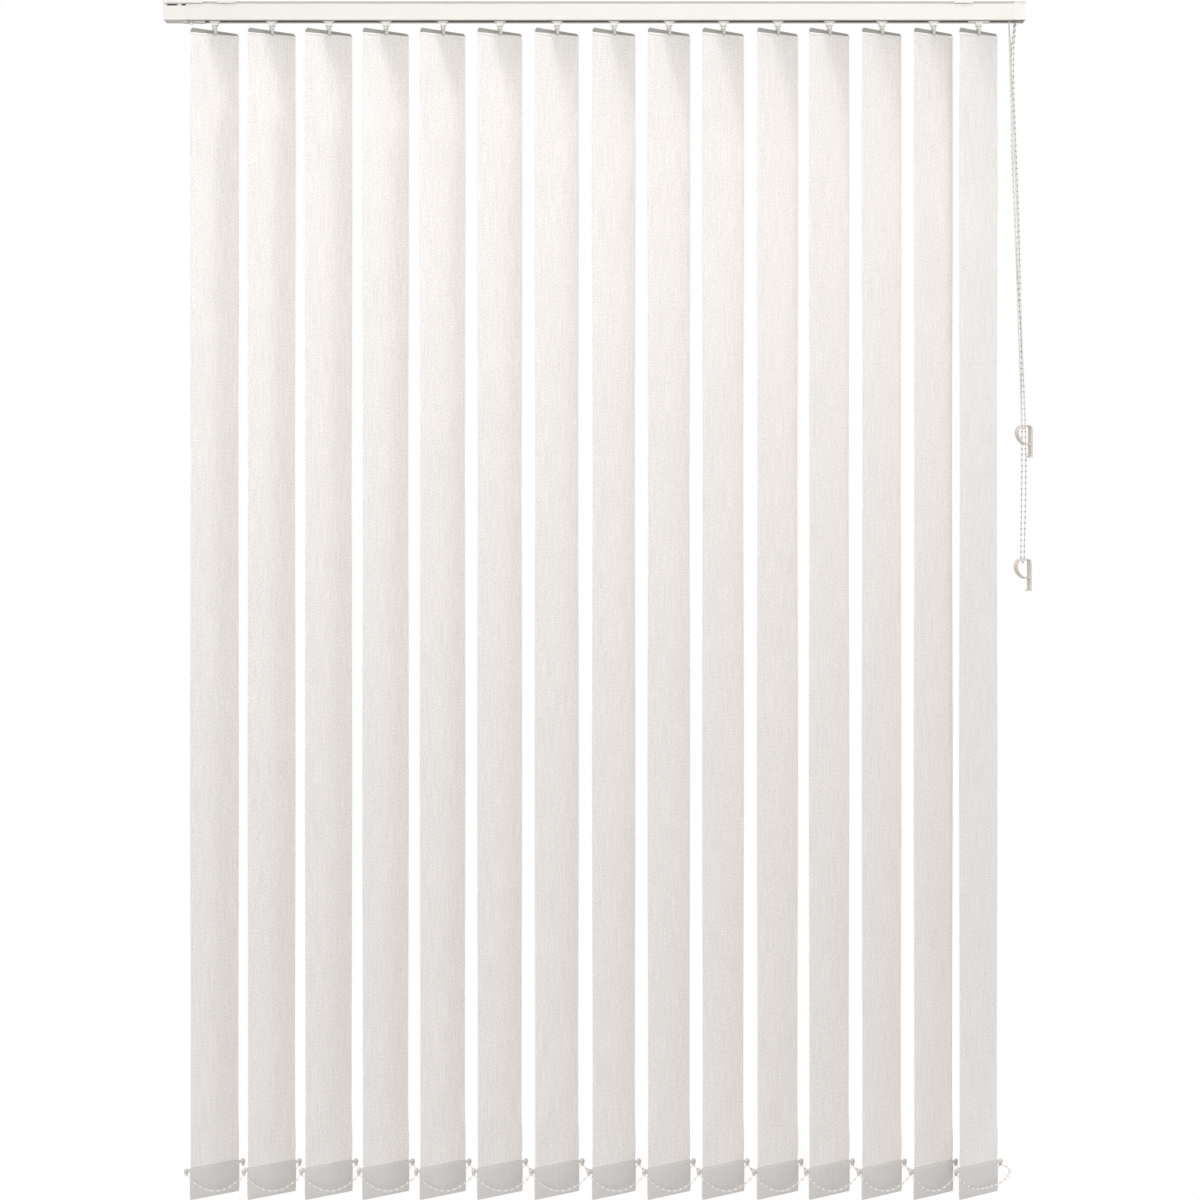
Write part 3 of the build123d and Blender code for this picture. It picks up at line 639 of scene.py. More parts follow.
def swept(name, points, radius, sides, material):
    """A round cord along its points, with a UV map round it and along it."""
    work = bmesh.new()
    layer = work.loops.layers.uv.new("UVMap")
    ways = [(b - a).normalized() for a, b in zip(points, points[1:])]
    ways.append(ways[-1])
    side = ways[0].orthogonal().normalized()
    rings = []
    runs = [0.0]
    for i, (point, way) in enumerate(zip(points, ways)):
        mean = (way + ways[i - 1]).normalized() if i else way
        side = (side - mean * side.dot(mean)).normalized()
        up = mean.cross(side)
        ring = []
        for k in range(sides):
            turn = FULL_TURN * k / sides
            ring.append(work.verts.new(point + (side * math.cos(turn) + up * math.sin(turn)) * radius))
        rings.append(ring)
        if i:
            runs.append(runs[-1] + (point - points[i - 1]).length)
    for i, (first, second) in enumerate(zip(rings, rings[1:])):
        for k in range(sides):
            n = (k + 1) % sides
            face = work.faces.new((first[k], first[n], second[n], second[k]))
            face.smooth = True
            corners = ((k, i), (k + 1, i), (k + 1, i + 1), (k, i + 1))
            for loop, (step, run) in zip(face.loops, corners):
                loop[layer].uv = (step / sides, runs[run])
    work.faces.new(list(reversed(rings[0])))
    work.faces.new(rings[-1])
    mesh = bpy.data.meshes.new(name)
    work.to_mesh(mesh)
    work.free()
    mesh.materials.append(material)
    return mesh


VANE_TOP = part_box("vane_" + LAST)[1].z
VANE_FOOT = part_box("vane_" + LAST)[0].z
KNOB_REACH = 74.5 * MM
KNOB_SHIFT = KNOB_REACH * math.cos(REST_TILT)
KNOB_Z = VANE_FOOT + 61.5 * MM
CHAIN_Z = KNOB_Z - 7.55 * MM
PRONG_ROOM = 4.8 * MM

# Rows of a cloth: the pocket's lip, the weld under it, the long fall and the seam
LIP = 0.4 * MM
PRESSED = 0.1 * MM
WELD_BAND = 0.8 * MM
WELD_FADE = 2.5 * MM
SEAM_FADE = 3.0 * MM
SEAM_BAND = 1.0 * MM
FALL_ROWS = 96

# Drops below the seam and rises above the foot, each with its share of the hem's thickness
HEM_TOP_SHARES = ((2.5 * MM, 0.82), (6.0 * MM, 1.0), (20.0 * MM, 1.0), (38.0 * MM, 1.0))
HEM_FOOT_SHARES = ((4.0 * MM, 0.96), (1.4 * MM, 0.72), (0.0, 0.25))

# Columns of a cloth from its middle line
COLUMN_PLACES = (56.0 * MM, 48.0 * MM, 39.0 * MM, 30.0 * MM, 21.0 * MM, 12.0 * MM)
EDGE_SHARE = 0.8


def mouth(across, sizes):
    """Height of the pocket's mouth: it slants across the vane, and dips round the stem's prongs."""
    share = across / sizes.vane_width + 0.5
    shown = sizes.band + (sizes.band_far - sizes.band) * share
    if abs(across) < PRONG_ROOM:
        shown = sizes.band
    return VANE_TOP - shown


def vane_rows(sizes):
    """Rows of the cloth: a share from the mouth to the weld or a height, and the half thickness there."""
    weld = VANE_TOP - sizes.pocket
    cloth = sizes.fabric / 2
    pocket = sizes.hanger_thick / 2
    hem = sizes.hem_thick / 2
    seam = VANE_FOOT + sizes.hem
    rows = [
        (0.0, None, pocket - LIP),
        (0.12, None, pocket),
        (0.8, None, pocket),
        (1.0, None, cloth - PRESSED),
        (None, weld - WELD_BAND, cloth - PRESSED),
        (None, weld - WELD_FADE, cloth),
    ]
    start, end = weld - WELD_FADE, seam + SEAM_FADE
    rows += [(None, start + (end - start) * i / FALL_ROWS, cloth) for i in range(1, FALL_ROWS + 1)]
    rows += [(None, seam + SEAM_BAND, cloth - PRESSED), (None, seam, cloth)]
    rows += [(None, seam - fall, hem * share) for fall, share in HEM_TOP_SHARES]
    rows += [(None, VANE_FOOT + rise, hem * share) for rise, share in HEM_FOOT_SHARES]
    return rows


# The hanging cloth's stand-off: a curl, a sway down the vane, and two buckles above the weight
CURL = 0.5 * MM
SWAY = 0.9 * MM
SWAY_TURN = 5.1
HOLD = 200.0 * MM
BUCKLE_RISE = 105.0 * MM
BUCKLE = 2.1 * MM
BUCKLE_REACH = 32.0 * MM
BUCKLE_TURN = 2.4
BUCKLE_START = 0.5
SECOND_RISE = 75.0 * MM
SECOND = 1.1 * MM
SECOND_REACH = 30.0 * MM
SECOND_TURN = 2.9


def ripple(across, height, half_width):
    """How far the hanging cloth stands off its own plane: a faint curl, and buckles above the weight."""
    share = across / half_width
    curl = CURL * share * share
    above = height - (VANE_FOOT + BUCKLE_RISE)
    buckle = BUCKLE * math.exp(-((above / BUCKLE_REACH) ** 2))
    buckle *= math.cos(BUCKLE_TURN * share + BUCKLE_START)
    second = SECOND * math.exp(-(((above - SECOND_RISE) / SECOND_REACH) ** 2))
    second *= math.sin(SECOND_TURN * share)
    sway = SWAY * math.sin((height - VANE_TOP) * SWAY_TURN) * share
    hold = min(1.0, (VANE_TOP - height) / HOLD)
    return (curl + sway) * hold + buckle + second


def cloth_pattern(sizes):
    """One woven strip at the origin: a closed cloth with its top pocket and its weighted hem."""
    half = sizes.vane_width / 2
    weld = VANE_TOP - sizes.pocket
    stops = [half, *COLUMN_PLACES, PRONG_ROOM + LIP, PRONG_ROOM - LIP]
    places = [-stop for stop in stops] + [0.0] + list(reversed(stops))
    columns = len(places) - 1
    rows = vane_rows(sizes)
    spots, maps = [], []
    for face in (-1, 1):
        for share, height, thick in rows:
            for i, x in enumerate(places):
                if height is None:
                    top = mouth(x, sizes)
                    z = top + (weld - top) * share
                else:
                    z = height
                edge = 1.0 if 0 < i < columns else EDGE_SHARE
                y = ripple(x, z, half) if z > VANE_FOOT + sizes.hem else 0.0
                spots.append((x, y + face * thick * edge, z))
                maps.append((x + half, z - VANE_FOOT))
    row_length = columns + 1
    back = len(rows) * row_length
    faces = []
    for r in range(len(rows) - 1):
        for i in range(columns):
            a = r * row_length + i
            faces.append((a, a + row_length, a + row_length + 1, a + 1))
            faces.append((a + back, a + back + 1, a + back + row_length + 1, a + back + row_length))
        a = r * row_length
        b = a + columns
        faces.append((a, a + back, a + back + row_length, a + row_length))
        faces.append((b, b + row_length, b + back + row_length, b + back))
    last = (len(rows) - 1) * row_length
    for i in range(columns):
        faces.append((i, i + 1, i + 1 + back, i + back))
        a = last + i
        faces.append((a, a + back, a + back + 1, a + 1))
    mesh = bpy.data.meshes.new("cloth_pattern")
    mesh.from_pydata(spots, [], faces)
    layer = mesh.uv_layers.new(name="UVMap")
    for loop in mesh.loops:
        layer.data[loop.index].uv = maps[loop.vertex_index]
    work = bmesh.new()
    work.from_mesh(mesh)
    bmesh.ops.recalc_face_normals(work, faces=work.faces)
    work.to_mesh(mesh)
    work.free()
    mesh.shade_smooth()
    mesh.set_sharp_from_angle(angle=SMOOTH_ANGLE)
    return mesh


def plate(work, xs, zs, holes, thick):
    """A flat plate of cells in X and Z without the cells named, given its thickness in Y."""
    rows = [[work.verts.new((x, -thick / 2, z)) for x in xs] for z in zs]
    faces = []
    for r in range(len(zs) - 1):
        for c in range(len(xs) - 1):
            if (c, r) not in holes:
                corners = (rows[r][c], rows[r][c + 1], rows[r + 1][c + 1], rows[r + 1][c])
                faces.append(work.faces.new(corners))
    grown_part = bmesh.ops.extrude_face_region(work, geom=faces)["geom"]
    moved = [v for v in grown_part if isinstance(v, bmesh.types.BMVert)]
    bmesh.ops.translate(work, verts=moved, vec=(0, thick, 0))
    loose = [v for v in work.verts if not v.link_faces]
    bmesh.ops.delete(work, geom=loose, context="VERTS")


def finished_pattern(work, name, width):
    """A pattern mesh from a bmesh: faces outward, edges rounded."""
    bmesh.ops.recalc_face_normals(work, faces=work.faces)
    if width:
        rounded(work, width)
    mesh = bpy.data.meshes.new(name)
    work.to_mesh(mesh)
    work.free()
    return even_normals(mesh, name)


HANGER_INSET = 0.5 * MM
HANGER_RISE = 1.5 * MM
HANGER_CORNER = 3.0 * MM
HANGER_ROOM = 0.6 * MM
PEG_HALF = 1.8 * MM
PEG_DROP = 5.0 * MM
MOULDED_EDGE = 0.3 * MM


def hanger_pattern(sizes):
    """The strip in the top pocket, with the square hole that the stem's peg holds."""
    work = bmesh.new()
    half = sizes.vane_width / 2 - HANGER_INSET
    shoulder = half - HANGER_CORNER
    peg_z = VANE_TOP - PEG_DROP
    foot = VANE_TOP - sizes.pocket + HANGER_RISE
    xs = (-half, -shoulder, -PEG_HALF, PEG_HALF, shoulder, half)
    zs = (foot, peg_z - PEG_HALF, peg_z + PEG_HALF, VANE_TOP)
    hole_and_corners = {(2, 1), (0, 2), (4, 2)}
    plate(work, xs, zs, hole_and_corners, sizes.hanger_thick - HANGER_ROOM)
    return finished_pattern(work, "hanger_pattern", MOULDED_EDGE)


def lathe(work, profile, sides, centre):
    """A closed turned shape round an axis in Y from (radius, y) points, the ends on the axis."""
    rings = []
    for radius, y in profile:
        if radius == 0:
            rings.append([work.verts.new(centre + Vector((0, y, 0)))])
            continue
        ring = []
        for k in range(sides):
            turn = FULL_TURN * k / sides
            offset = Vector((radius * math.cos(turn), y, radius * math.sin(turn)))
            ring.append(work.verts.new(centre + offset))
        rings.append(ring)
    for first, second in zip(rings, rings[1:]):
        for k in range(sides):
            n = (k + 1) % sides
            near = [first[step % len(first)] for step in (k, n)]
            far = [second[step % len(second)] for step in (n, k)]
            work.faces.new(list(dict.fromkeys(near + far)))


def bar(work, *ends):
    """A box from its two ends along each axis, in either order."""
    low, high = (Vector(corner) for corner in zip(*(sorted(pair) for pair in ends)))
    place = Matrix.Translation((low + high) / 2) @ Matrix.Diagonal((*(high - low), 1.0))
    bmesh.ops.create_cube(work, size=1.0, matrix=place)


# Radius and half thickness of a knob from its dished middle to its rim, in millimetres
KNOB_FACE = ((0.0, 1.9), (1.5, 1.9), (1.9, 2.8), (3.6, 2.9), (4.9, 2.3), (5.6, 1.1))
KNOB_SIDES = 20

# The weight's end in the hem, the neck out to the knob, and the two jaws that hold the chain
TAIL_IN = 4.0 * MM
TAIL_OUT = 1.2 * MM
TAIL_HALF = 0.8 * MM
TAIL_FOOT = 6.0 * MM
TAIL_TOP = 56.5 * MM
NECK_START = 0.5 * MM
NECK_SHORT = 3.5 * MM
NECK_HALF = 1.5 * MM
NECK_RISE = 3.0 * MM
JAW_HALF = 2.0 * MM
JAW_INNER = 2.5 * MM
JAW_OUTER = 3.3 * MM
JAW_BELOW = 1.4 * MM
JAW_TOP = KNOB_Z - 1.0 * MM
ROOT_INNER = 1.2 * MM
ROOT_FOOT = KNOB_Z - 3.5 * MM


def weight_pattern(sizes):
    """The weight's two ends with the necks, knobs and jaws that hold the bottom chains."""
    work = bmesh.new()
    half = sizes.vane_width / 2
    profile = [(radius * MM, thick * MM) for radius, thick in KNOB_FACE]
    profile += [(radius, -thick) for radius, thick in reversed(profile)]
    for side in (-1, 1):
        tail = (side * (half - TAIL_IN), side * (half + TAIL_OUT))
        bar(work, tail, (-TAIL_HALF, TAIL_HALF), (VANE_FOOT + TAIL_FOOT, VANE_FOOT + TAIL_TOP))
        neck = (side * (half + NECK_START), side * (KNOB_REACH - NECK_SHORT))
        bar(work, neck, (-NECK_HALF, NECK_HALF), (KNOB_Z - NECK_RISE, KNOB_Z + NECK_RISE))
        jaw = (side * KNOB_REACH - JAW_HALF, side * KNOB_REACH + JAW_HALF)
        for face in (-1, 1):
            bar(work, jaw, (face * JAW_INNER, face * JAW_OUTER), (CHAIN_Z - JAW_BELOW, JAW_TOP))
            bar(work, jaw, (face * ROOT_INNER, face * JAW_OUTER), (ROOT_FOOT, JAW_TOP))
    rounded(work, MOULDED_EDGE)
    for side in (-1, 1):
        lathe(work, profile, KNOB_SIDES, Vector((side * KNOB_REACH, 0, KNOB_Z)))
    return finished_pattern(work, "weight_pattern", 0.0)


def pattern_object(mesh):
    """A pattern as an object that the geometry tree can take up."""
    pattern = bpy.data.objects.new(mesh.name, mesh)
    bpy.context.scene.collection.objects.link(pattern)
    return pattern


def hang(kind, shape, material, slot, stands_for=()):
    """One piece of every vane, hung from its stem by the geometry tree."""
    tilt = bpy.context.scene.blind_sizes.tilt
    tree, names = vane_tree()
    pattern = pattern_object(shape)
    pieces = []
    for number in NUMBERS:
        name = f"{kind}_{number}"
        stem = (middle_x("stem_" + number), 0.0, 0.0)
        settings = {"Pattern": pattern, "Stem": stem, "Tilt": tilt, "Material": material}
        mesh = grown(tree, names, name, settings)
        nodes = [f"{prefix}_{number}" for prefix in stands_for]
        pieces.append(add_piece(name, mesh, "leaf_" + number, slot, *nodes))
    drop(pattern)
    return pieces


# How far the edges of the solids are rounded
RAIL_EDGE = 0.35 * MM
CAP_EDGE = 0.3 * MM
CLIP_EDGE = 0.2 * MM
CARRIER_EDGE = 0.3 * MM
STEM_EDGE = 0.35 * MM
ROD_EDGE = 0.3 * MM
WHEEL_EDGE = 0.15 * MM
HOOK_EDGE = 0.6 * MM


class BLIND_OT_rail(bpy.types.Operator):
    """Finishes the headrail, its end caps, the mounting clips and the end bracket"""

    bl_idname = "blind.rail"
    bl_label = "Rail and fittings"

    def execute(self, context):
        colours = context.scene.blind_colours
        refinish("headrail", RAIL_EDGE, painted("rail_finish", colours.rail), "rail")
        cap = moulded("cap_finish", colours.cap, roughness=0.56, gloss=0.2)
        refinish("left_end_cap", CAP_EDGE, cap, "cap")
        refinish("right_end_cap", CAP_EDGE, cap, "cap")
        clip = moulded("clip_finish", colours.clip, roughness=0.5, gloss=0.25)
        refinish("mounting_clips", CLIP_EDGE, clip, "clip")
        refinish("end_bracket", CLIP_EDGE, clip, "bracket")
        return {"FINISHED"}


class BLIND_OT_carriers(bpy.types.Operator):
    """Finishes the carriers and the stems that hang from them"""

    bl_idname = "blind.carriers"
    bl_label = "Carriers and stems"

    def execute(self, context):
        colours = context.scene.blind_colours
        carrier = moulded("carrier_finish", colours.carrier, roughness=0.45)
        stem = moulded("stem_finish", colours.stem, roughness=0.4)
        for number in NUMBERS:
            refinish("carrier_" + number, CARRIER_EDGE, carrier, "carrier")
            refinish("stem_" + number, STEM_EDGE, stem, "stem")
        return {"FINISHED"}


class BLIND_OT_drive(bpy.types.Operator):
    """Finishes the tilt rod, the sprocket and the two pulleys"""

    bl_idname = "blind.drive"
    bl_label = "Rod and wheels"

    def execute(self, context):
        colours = context.scene.blind_colours
        refinish("tilt_rod", ROD_EDGE, drawn_metal("rod_finish", colours.rod), "rod")
        wheel = moulded("wheel_finish", colours.wheel, roughness=0.35)
        for node in ("chain_sprocket", "idler_pulley", "control_pulley"):
            refinish(node, WHEEL_EDGE, wheel, "wheel")
        return {"FINISHED"}


CLOTH_STEP = 731.0 * MM


class BLIND_OT_vanes(bpy.types.Operator):
    """Hangs the woven vanes with their hanger strips, weights and chain clips"""

    bl_idname = "blind.vanes"
    bl_label = "Vanes"

    def execute(self, context):
        sizes = context.scene.blind_sizes
        colours = context.scene.blind_colours
        cloth = woven("cloth_finish", colours.fabric, sizes.hem)
        # The hangers' dark grey is painted shade from the rail above them
        hanger = moulded("hanger_finish", colours.hanger, roughness=0.4)
        knob = moulded("knob_finish", colours.knob, roughness=0.38)
        sheets = hang("cloth", cloth_pattern(sizes), cloth, "fabric", stands_for=["vane"])
        hang("hanger", hanger_pattern(sizes), hanger, "stem")
        hang("weight", weight_pattern(sizes), knob, "stem")
        for index, (number, sheet) in enumerate(zip(NUMBERS, sheets)):
            for loop in sheet.data.uv_layers["UVMap"].data:
                loop.uv.x += CLOTH_STEP * index
            "stem_" + number
        return {"FINISHED"}


# Where the curve of a hanging chain is drawn down, as shares of its span
SPAN_SHARES = (0.25, 0.75)

# The closing loop in the vane's own frame: places along the vane, in front of it and below the jaws
LOOP_START = (-58.0 * MM, -15.6 * MM)
LOOP_FOOT = (18.0 * MM, -30.0 * MM)
LOOP_RISE = (56.5 * MM, -39.5 * MM)
LOOP_END = (80.5 * MM, -18.5 * MM)
LOOP_RISE_DROP = 14.0 * MM
LOOP_END_DROP = 2.0 * MM


class BLIND_OT_bottom_chains(bpy.types.Operator):
    """Strings the two chains that link the weights, and the loop that closes them at the last vane"""

    bl_idname = "blind.bottom_chains"
    bl_label = "Bottom chains"

    def execute(self, context):
        sizes = context.scene.blind_sizes
        material = beadwork("bead_finish", context.scene.blind_colours.bead)
        stems = [middle_x("stem_" + number) for number in NUMBERS]
        low = CHAIN_Z - sizes.sag
        for name, side in (("front", -1), ("back", 1)):
            shift = side * KNOB_SHIFT
            runs = []
            for left, right in zip(stems, stems[1:]):
                span = right - left
                drawn_down = [(left + shift + share * span, shift, low) for share in SPAN_SHARES]
                runs.append([(left + shift, shift, CHAIN_Z), *drawn_down, (right + shift, shift, CHAIN_Z)])
            piece = chain_piece(
                f"{name}_chain_beads", runs, sizes.link_bead, f"{name}_chain", "hanging", material,
                f"{name}_bottom_chain",
            )
            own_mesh(piece)
        turn = Matrix.Rotation(sizes.tilt, 3, "Z")
        places = (
            (-KNOB_REACH, 0.0, CHAIN_Z),
            (*LOOP_START, low),
            (*LOOP_FOOT, low),
            (*LOOP_RISE, CHAIN_Z - LOOP_RISE_DROP),
            (*LOOP_END, CHAIN_Z - LOOP_END_DROP),
            (KNOB_REACH, 0.0, CHAIN_Z),
        )
        loop = [Vector((stems[-1], 0, 0)) + turn @ Vector(place) for place in places]
        chain_piece("closing_loop_beads", [loop], sizes.link_bead, "leaf_" + LAST, "hanging", material)
        return {"FINISHED"}


# The turn of a strand under a hook's bridge
STRAND_HALF = 4.5 * MM
STRAND_TURN = math.radians(30)
TURN_DROP = 7.5 * MM

# The tilt chain's route over the sprocket
SPROCKET_X = middle_x("chain_sprocket")
CHAIN_TOP = -6.54 * MM
CHAIN_FRONT = -3.46 * MM
CHAIN_BACK = 19.46 * MM
CHAIN_ENDS_APART = 0.3 * MM

# The traverse cord's route along the rail
LEAD_X = middle_x("stem_" + LAST)
CORD_X = 866.0 * MM
CORD_Z = -7.0 * MM
CORD_FRONT = -8.0 * MM
CORD_BACK = 2.0 * MM
CORD_EASE = 16.0 * MM
CORD_ENDS_APART = 0.4 * MM
IDLER_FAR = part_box("idler_pulley")[0].x + 1.7 * MM
CORD_SIDES = 8

# Drops down a strand, and how far it stands aside there, in millimetres
CHAIN_FRONT_EASES = (
    (27.5, 0.0), (50.0, -1.5), (90.0, -5.5), (160.0, -6.5), (250.0, -4.0), (330.0, -1.5),
    (450.0, 2.0), (600.0, 4.5), (750.0, 4.5), (880.0, 5.0), (1030.0, 3.0), (1140.0, 0.0),
)
CHAIN_BACK_EASES = (
    (27.5, 0.0), (50.0, -2.0), (90.0, -8.5), (200.0, -10.0), (330.0, -10.0), (450.0, -6.5),
    (600.0, -2.0), (750.0, 4.0), (880.0, 8.0), (1030.0, 5.5), (1140.0, 0.0),
)
CORD_FRONT_EASES = ((15.6, 0.0), (80.0, -1.2), (400.0, -1.0), (871.0, 0.0))
CORD_BACK_EASES = ((15.6, 0.0), (80.0, 2.2), (400.0, 1.0), (871.0, 0.0))


def turn_ends(node):
    """Where the two strands of a cord begin their turn under the bridge of a hook."""
    low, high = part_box(node)
    top = Vector(((low.x + high.x) / 2, (low.y + high.y) / 2, high.z - TURN_DROP))
    reach = Vector((math.cos(STRAND_TURN), math.sin(STRAND_TURN), 0)) * STRAND_HALF
    return top - reach, top + reach


def hanging_run(top, foot, eases):
    """Points down one strand, each by its drop and set aside along the rail."""
    points = []
    for fall, aside in eases:
        share = fall * MM / (top.z - foot.z)
        points.append(top.lerp(foot, share) + Vector((aside * MM, 0, 0)))
    return points


def tilt_route():
    """The bead chain's route: over the sprocket, down beside the cord, round the lower hook and back."""
    front, back = turn_ends("chain_hook")
    front_top = Vector((SPROCKET_X, CHAIN_FRONT, CHAIN_TOP))
    back_top = Vector((SPROCKET_X, CHAIN_BACK, CHAIN_TOP))
    middle_y = (CHAIN_FRONT + CHAIN_BACK) / 2
    forth = hanging_run(front_top, front, CHAIN_FRONT_EASES)
    back_run = hanging_run(back_top, back, CHAIN_BACK_EASES)
    return [
        Vector((SPROCKET_X, middle_y - CHAIN_ENDS_APART, CHAIN_TOP)), front_top, *forth, front,
        back, *reversed(back_run), back_top,
        Vector((SPROCKET_X, middle_y + CHAIN_ENDS_APART, CHAIN_TOP)),
    ]


def traverse_route():
    """The cord's route: lead carrier, control end, upper hook, back along the rail, idler, lead carrier."""
    front, back = turn_ends("cord_hook")
    front_top = Vector((CORD_X, CORD_FRONT, CORD_Z))
    back_top = Vector((CORD_X, CORD_BACK, CORD_Z))
    forth = hanging_run(front_top, front, CORD_FRONT_EASES)
    back_run = hanging_run(back_top, back, CORD_BACK_EASES)
    ease = Vector((CORD_EASE, 0, 0))
    far_front = Vector((IDLER_FAR, CORD_FRONT, CORD_Z))
    far_back = Vector((IDLER_FAR, CORD_BACK, CORD_Z))
    return [
        Vector((LEAD_X + CORD_ENDS_APART, CORD_FRONT, CORD_Z)), front_top - ease, front_top, *forth, front,
        back, *reversed(back_run), back_top, back_top - ease,
        far_back + ease, far_back, far_front, far_front + ease,
        Vector((LEAD_X - CORD_ENDS_APART, CORD_FRONT, CORD_Z)),
    ]


class BLIND_OT_controls(bpy.types.Operator):
    """Hangs the tilt chain and the traverse cord, each held down by its strap hook"""

    bl_idname = "blind.controls"
    bl_label = "Controls"

    def execute(self, context):
        sizes = context.scene.blind_sizes
        colours = context.scene.blind_colours
        beads = beadwork("control_finish", colours.control)
        chain_piece("tilt_chain_beads", [tilt_route()], sizes.bead, "rail", "taut", beads, "tilt_chain")
        cord_route = traverse_route()
        curve = route_curve("traverse_route", [cord_route])
        points = route_points(curve)
        drop(curve)
        braid = braided("cord_finish", colours.cord)
        mesh = swept("traverse_braid", points, sizes.cord, CORD_SIDES, braid)
        cord = add_piece("traverse_braid", mesh, "rail", "cord", "traverse_cord")
        path_length(points)
        hook = moulded("hook_finish", colours.hook, roughness=0.34)
        for node in ("cord_hook", "chain_hook"):
            refinish(node, HOOK_EDGE, hook, "hook")
        return {"FINISHED"}


# A soft front light, a wash on the upper part and a lamp over the rail
KEY = {"place": (0.0, -1.0, 0.07), "strength": 1.1, "softness": 18.0}
WASH = {
    "place": (1.1, -5.0, 0.6),
    "aim": (0.1, 0.0, -0.45),
    "size": (3.6, 0.8),
    "power": 2.8,
    "spread": 30.0,
}
TOP = {
    "place": (0.6, -0.85, 3.0),
    "aim": (0.2, 0.0, -0.6),
    "size": (0.6, 0.6),
    "power": 50.0,
    "spread": 180.0,
}


class BLIND_OT_stage(bpy.types.Operator):
    """Sets the floor, the light and the camera"""

    bl_idname = "blind.stage"
    bl_label = "Stage"

    def execute(self, context):
        set_floor()
        set_world()
        set_sun("key", **KEY)
        set_lamp("wash", **WASH)
        set_lamp("top", **TOP)
        set_camera()
        return {"FINISHED"}


FLOOR_RADIUS = 1.7
FLOOR_SIDES = 96
FLOOR_DROP = 0.4
FLOOR_SCALE = 3.0
FLOOR_DARK = (0.56, 0.56, 0.56, 1.0)
FLOOR_LIGHT = (0.6, 0.6, 0.6, 1.0)
FADE_FROM = 0.9
GLOW_SHARE = 0.85


def set_floor():
    """A pale floor under the blind that keeps its shadow and fades into the white round it."""
    work = bmesh.new()
    bmesh.ops.create_circle(work, cap_ends=True, radius=FLOOR_RADIUS, segments=FLOOR_SIDES)
    mesh = bpy.data.meshes.new("floor")
    work.to_mesh(mesh)
    work.free()
    mesh.transform(Matrix.Translation((0, 0, VANE_FOOT - FLOOR_DROP)))
    floor = bpy.data.objects.new("floor", mesh)
    bpy.context.scene.collection.objects.link(floor)
    finish = Finish("floor_finish", Roughness=0.9)
    nodes = finish.nodes
    shade = nodes.noise(finish.place(), FLOOR_SCALE, 2.0)
    finish.feed("Base Color", nodes.mix(shade, FLOOR_DARK, FLOOR_LIGHT))
    glow = nodes.add("ShaderNodeEmission", {}, {"Strength": 1.0})
    across, deep = finish.parts(finish.place())
    rim = (across * across + deep * deep - FADE_FROM ** 2) * (1 / (FLOOR_RADIUS ** 2 - FADE_FROM ** 2))
    glow_share = rim.clamped() * (1 - GLOW_SHARE) + GLOW_SHARE
    mixed = nodes.add("ShaderNodeMixShader", {}, {0: seen_rays(nodes) * glow_share})
    nodes.put(mixed.socket.node.inputs[1], Value(nodes, finish.shader.outputs[0]))
    nodes.put(mixed.socket.node.inputs[2], glow)
    nodes.put(nodes.tree.nodes["Material Output"].inputs[0], mixed)
    mesh.materials.append(finish.material)


def seen_rays(nodes):
    """One for rays that show the background: from the camera, a reflection or through glass."""
    outputs = nodes.tree.nodes.new("ShaderNodeLightPath").outputs
    seen = Value(nodes, outputs["Is Camera Ray"])
    for name in ("Is Glossy Ray", "Is Transmission Ray"):
        seen = seen.maths("MAXIMUM", seen, Value(nodes, outputs[name]))
    return seen


SKY_LOW = 0.42
SKY_GAIN = 0.32


def set_world():
    """A white background, and a softer light on the object, more of it from above."""
    world = bpy.data.worlds.new("studio")
    world.use_nodes = True
    bpy.context.scene.world = world
    nodes = Nodes(world.node_tree)
    seen = seen_rays(nodes)
    heading = nodes.add("ShaderNodeTexCoord")
    height = nodes.add("ShaderNodeSeparateXYZ", {}, {0: heading}, output=2)
    from_above = (height * 0.5 + 0.5).clamped()
    strength = (from_above * SKY_GAIN + SKY_LOW) * (1 - seen) + seen
    ground = world.node_tree.nodes["Background"]
    ground.inputs[0].default_value = (1.0, 1.0, 1.0, 1.0)
    nodes.put(ground.inputs[1], strength)


def set_sun(name, place, strength, softness):
    """A far lamp whose light comes evenly from the direction of a place."""
    data = bpy.data.lights.new(name, "SUN")
    data.energy = strength
    data.angle = math.radians(softness)
    lamp = bpy.data.objects.new(name, data)
    lamp.location = place
    lamp.rotation_euler = (-Vector(place)).to_track_quat("-Z", "Y").to_euler()
    bpy.context.scene.collection.objects.link(lamp)


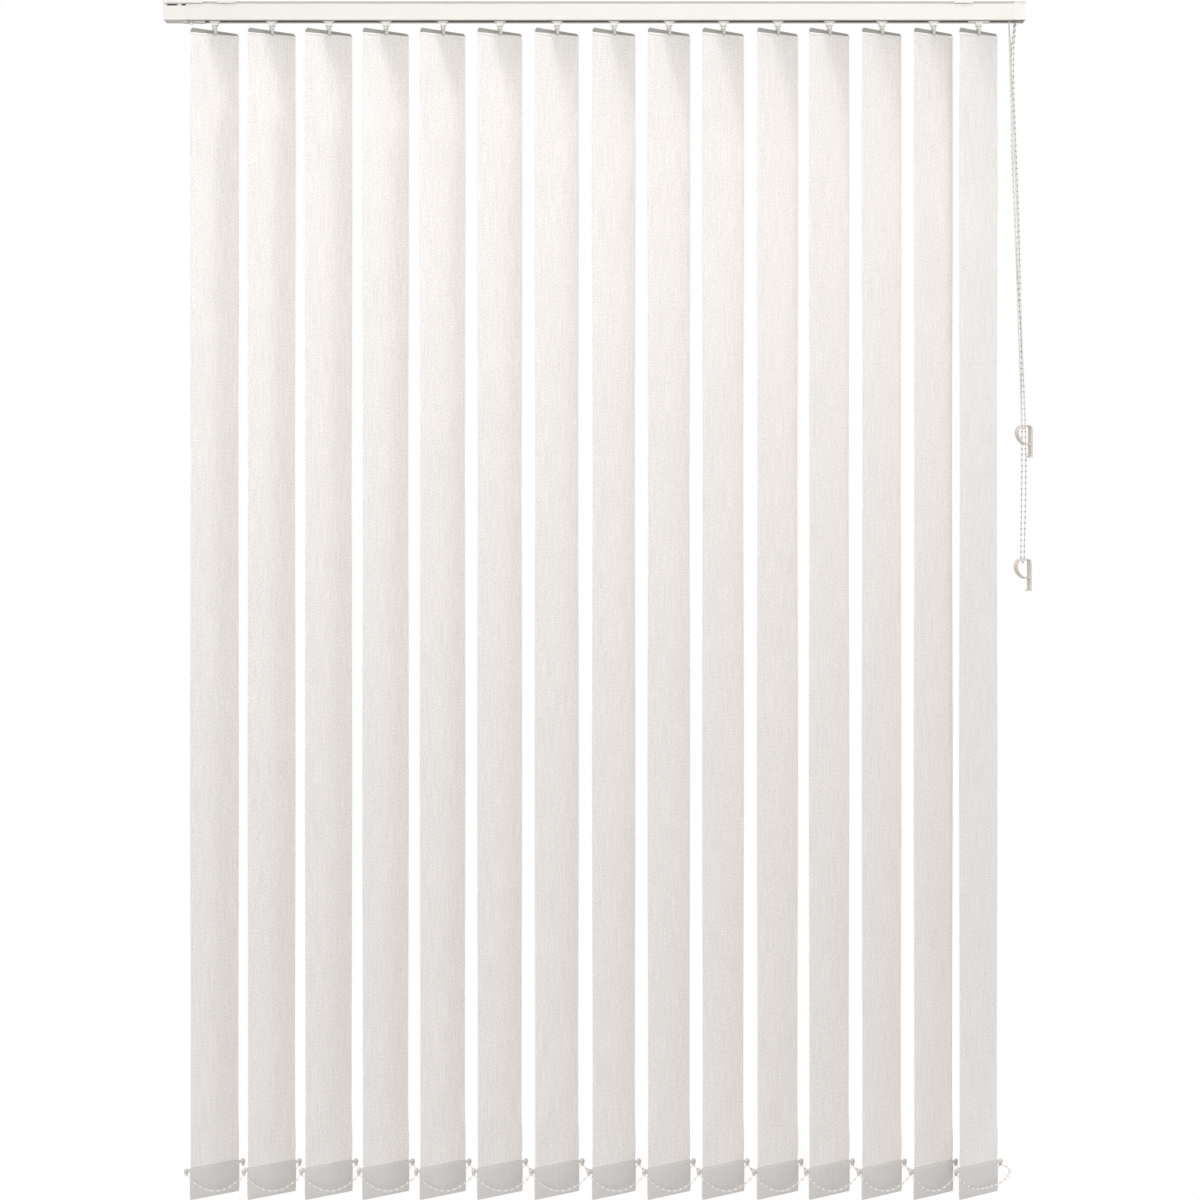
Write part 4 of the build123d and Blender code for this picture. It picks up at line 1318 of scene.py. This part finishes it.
def set_lamp(name, place, aim, size, power, spread):
    """A soft oblong lamp whose beam opens by the spread given."""
    data = bpy.data.lights.new(name, "AREA")
    data.shape = "RECTANGLE"
    data.size, data.size_y = size
    data.energy = power
    data.spread = math.radians(spread)
    lamp = bpy.data.objects.new(name, data)
    lamp.location = place
    lamp.rotation_euler = (Vector(aim) - Vector(place)).to_track_quat("-Z", "Y").to_euler()
    bpy.context.scene.collection.objects.link(lamp)


CAMERA_DISTANCE = 6.5
FRAME_WIDTH = 2.505
FRAME_SHIFT = -0.0535
SENSOR_WIDTH = 36.0
CAMERA_PLACE = (0.011, -0.024 - CAMERA_DISTANCE, -1.118)


def set_camera():
    """The camera looks straight along the depth, with the rail at the top of the frame."""
    data = bpy.data.cameras.new("camera")
    data.sensor_width = SENSOR_WIDTH
    data.lens = SENSOR_WIDTH * CAMERA_DISTANCE / FRAME_WIDTH
    data.shift_y = FRAME_SHIFT
    camera = bpy.data.objects.new("camera", data)
    camera.location = CAMERA_PLACE
    camera.rotation_euler = (math.radians(90), 0, 0)
    bpy.context.scene.collection.objects.link(camera)
    bpy.context.scene.camera = camera
    bpy.context.scene.view_settings.view_transform = "Standard"


STEPS = (
    BLIND_OT_rail,
    BLIND_OT_carriers,
    BLIND_OT_drive,
    BLIND_OT_vanes,
    BLIND_OT_bottom_chains,
    BLIND_OT_controls,
    BLIND_OT_stage,
)


class BLIND_PT_pieces(bpy.types.Panel):
    """Lists the steps that dress the blind"""

    bl_idname = "BLIND_PT_pieces"
    bl_label = "Vertical blind"
    bl_space_type = "VIEW_3D"
    bl_region_type = "UI"
    bl_category = "Blind"

    def draw(self, context):
        for step in STEPS:
            self.layout.operator(step.bl_idname)
        for group in (context.scene.blind_sizes, context.scene.blind_colours):
            for name in group.__annotations__:
                self.layout.prop(group, name)


CLASSES = (BlindSizes, BlindColours, *STEPS, BLIND_PT_pieces)


def register():
    for kind in CLASSES:
        bpy.utils.register_class(kind)
    bpy.types.Scene.blind_sizes = bpy.props.PointerProperty(type=BlindSizes)
    bpy.types.Scene.blind_colours = bpy.props.PointerProperty(type=BlindColours)


def unregister():
    del bpy.types.Scene.blind_colours
    del bpy.types.Scene.blind_sizes
    for kind in reversed(CLASSES):
        bpy.utils.unregister_class(kind)


def main():
    register()
    for step in STEPS:
        group, name = step.bl_idname.split(".")
        getattr(getattr(bpy.ops, group), name)()


if __name__ == "__main__":
    main()
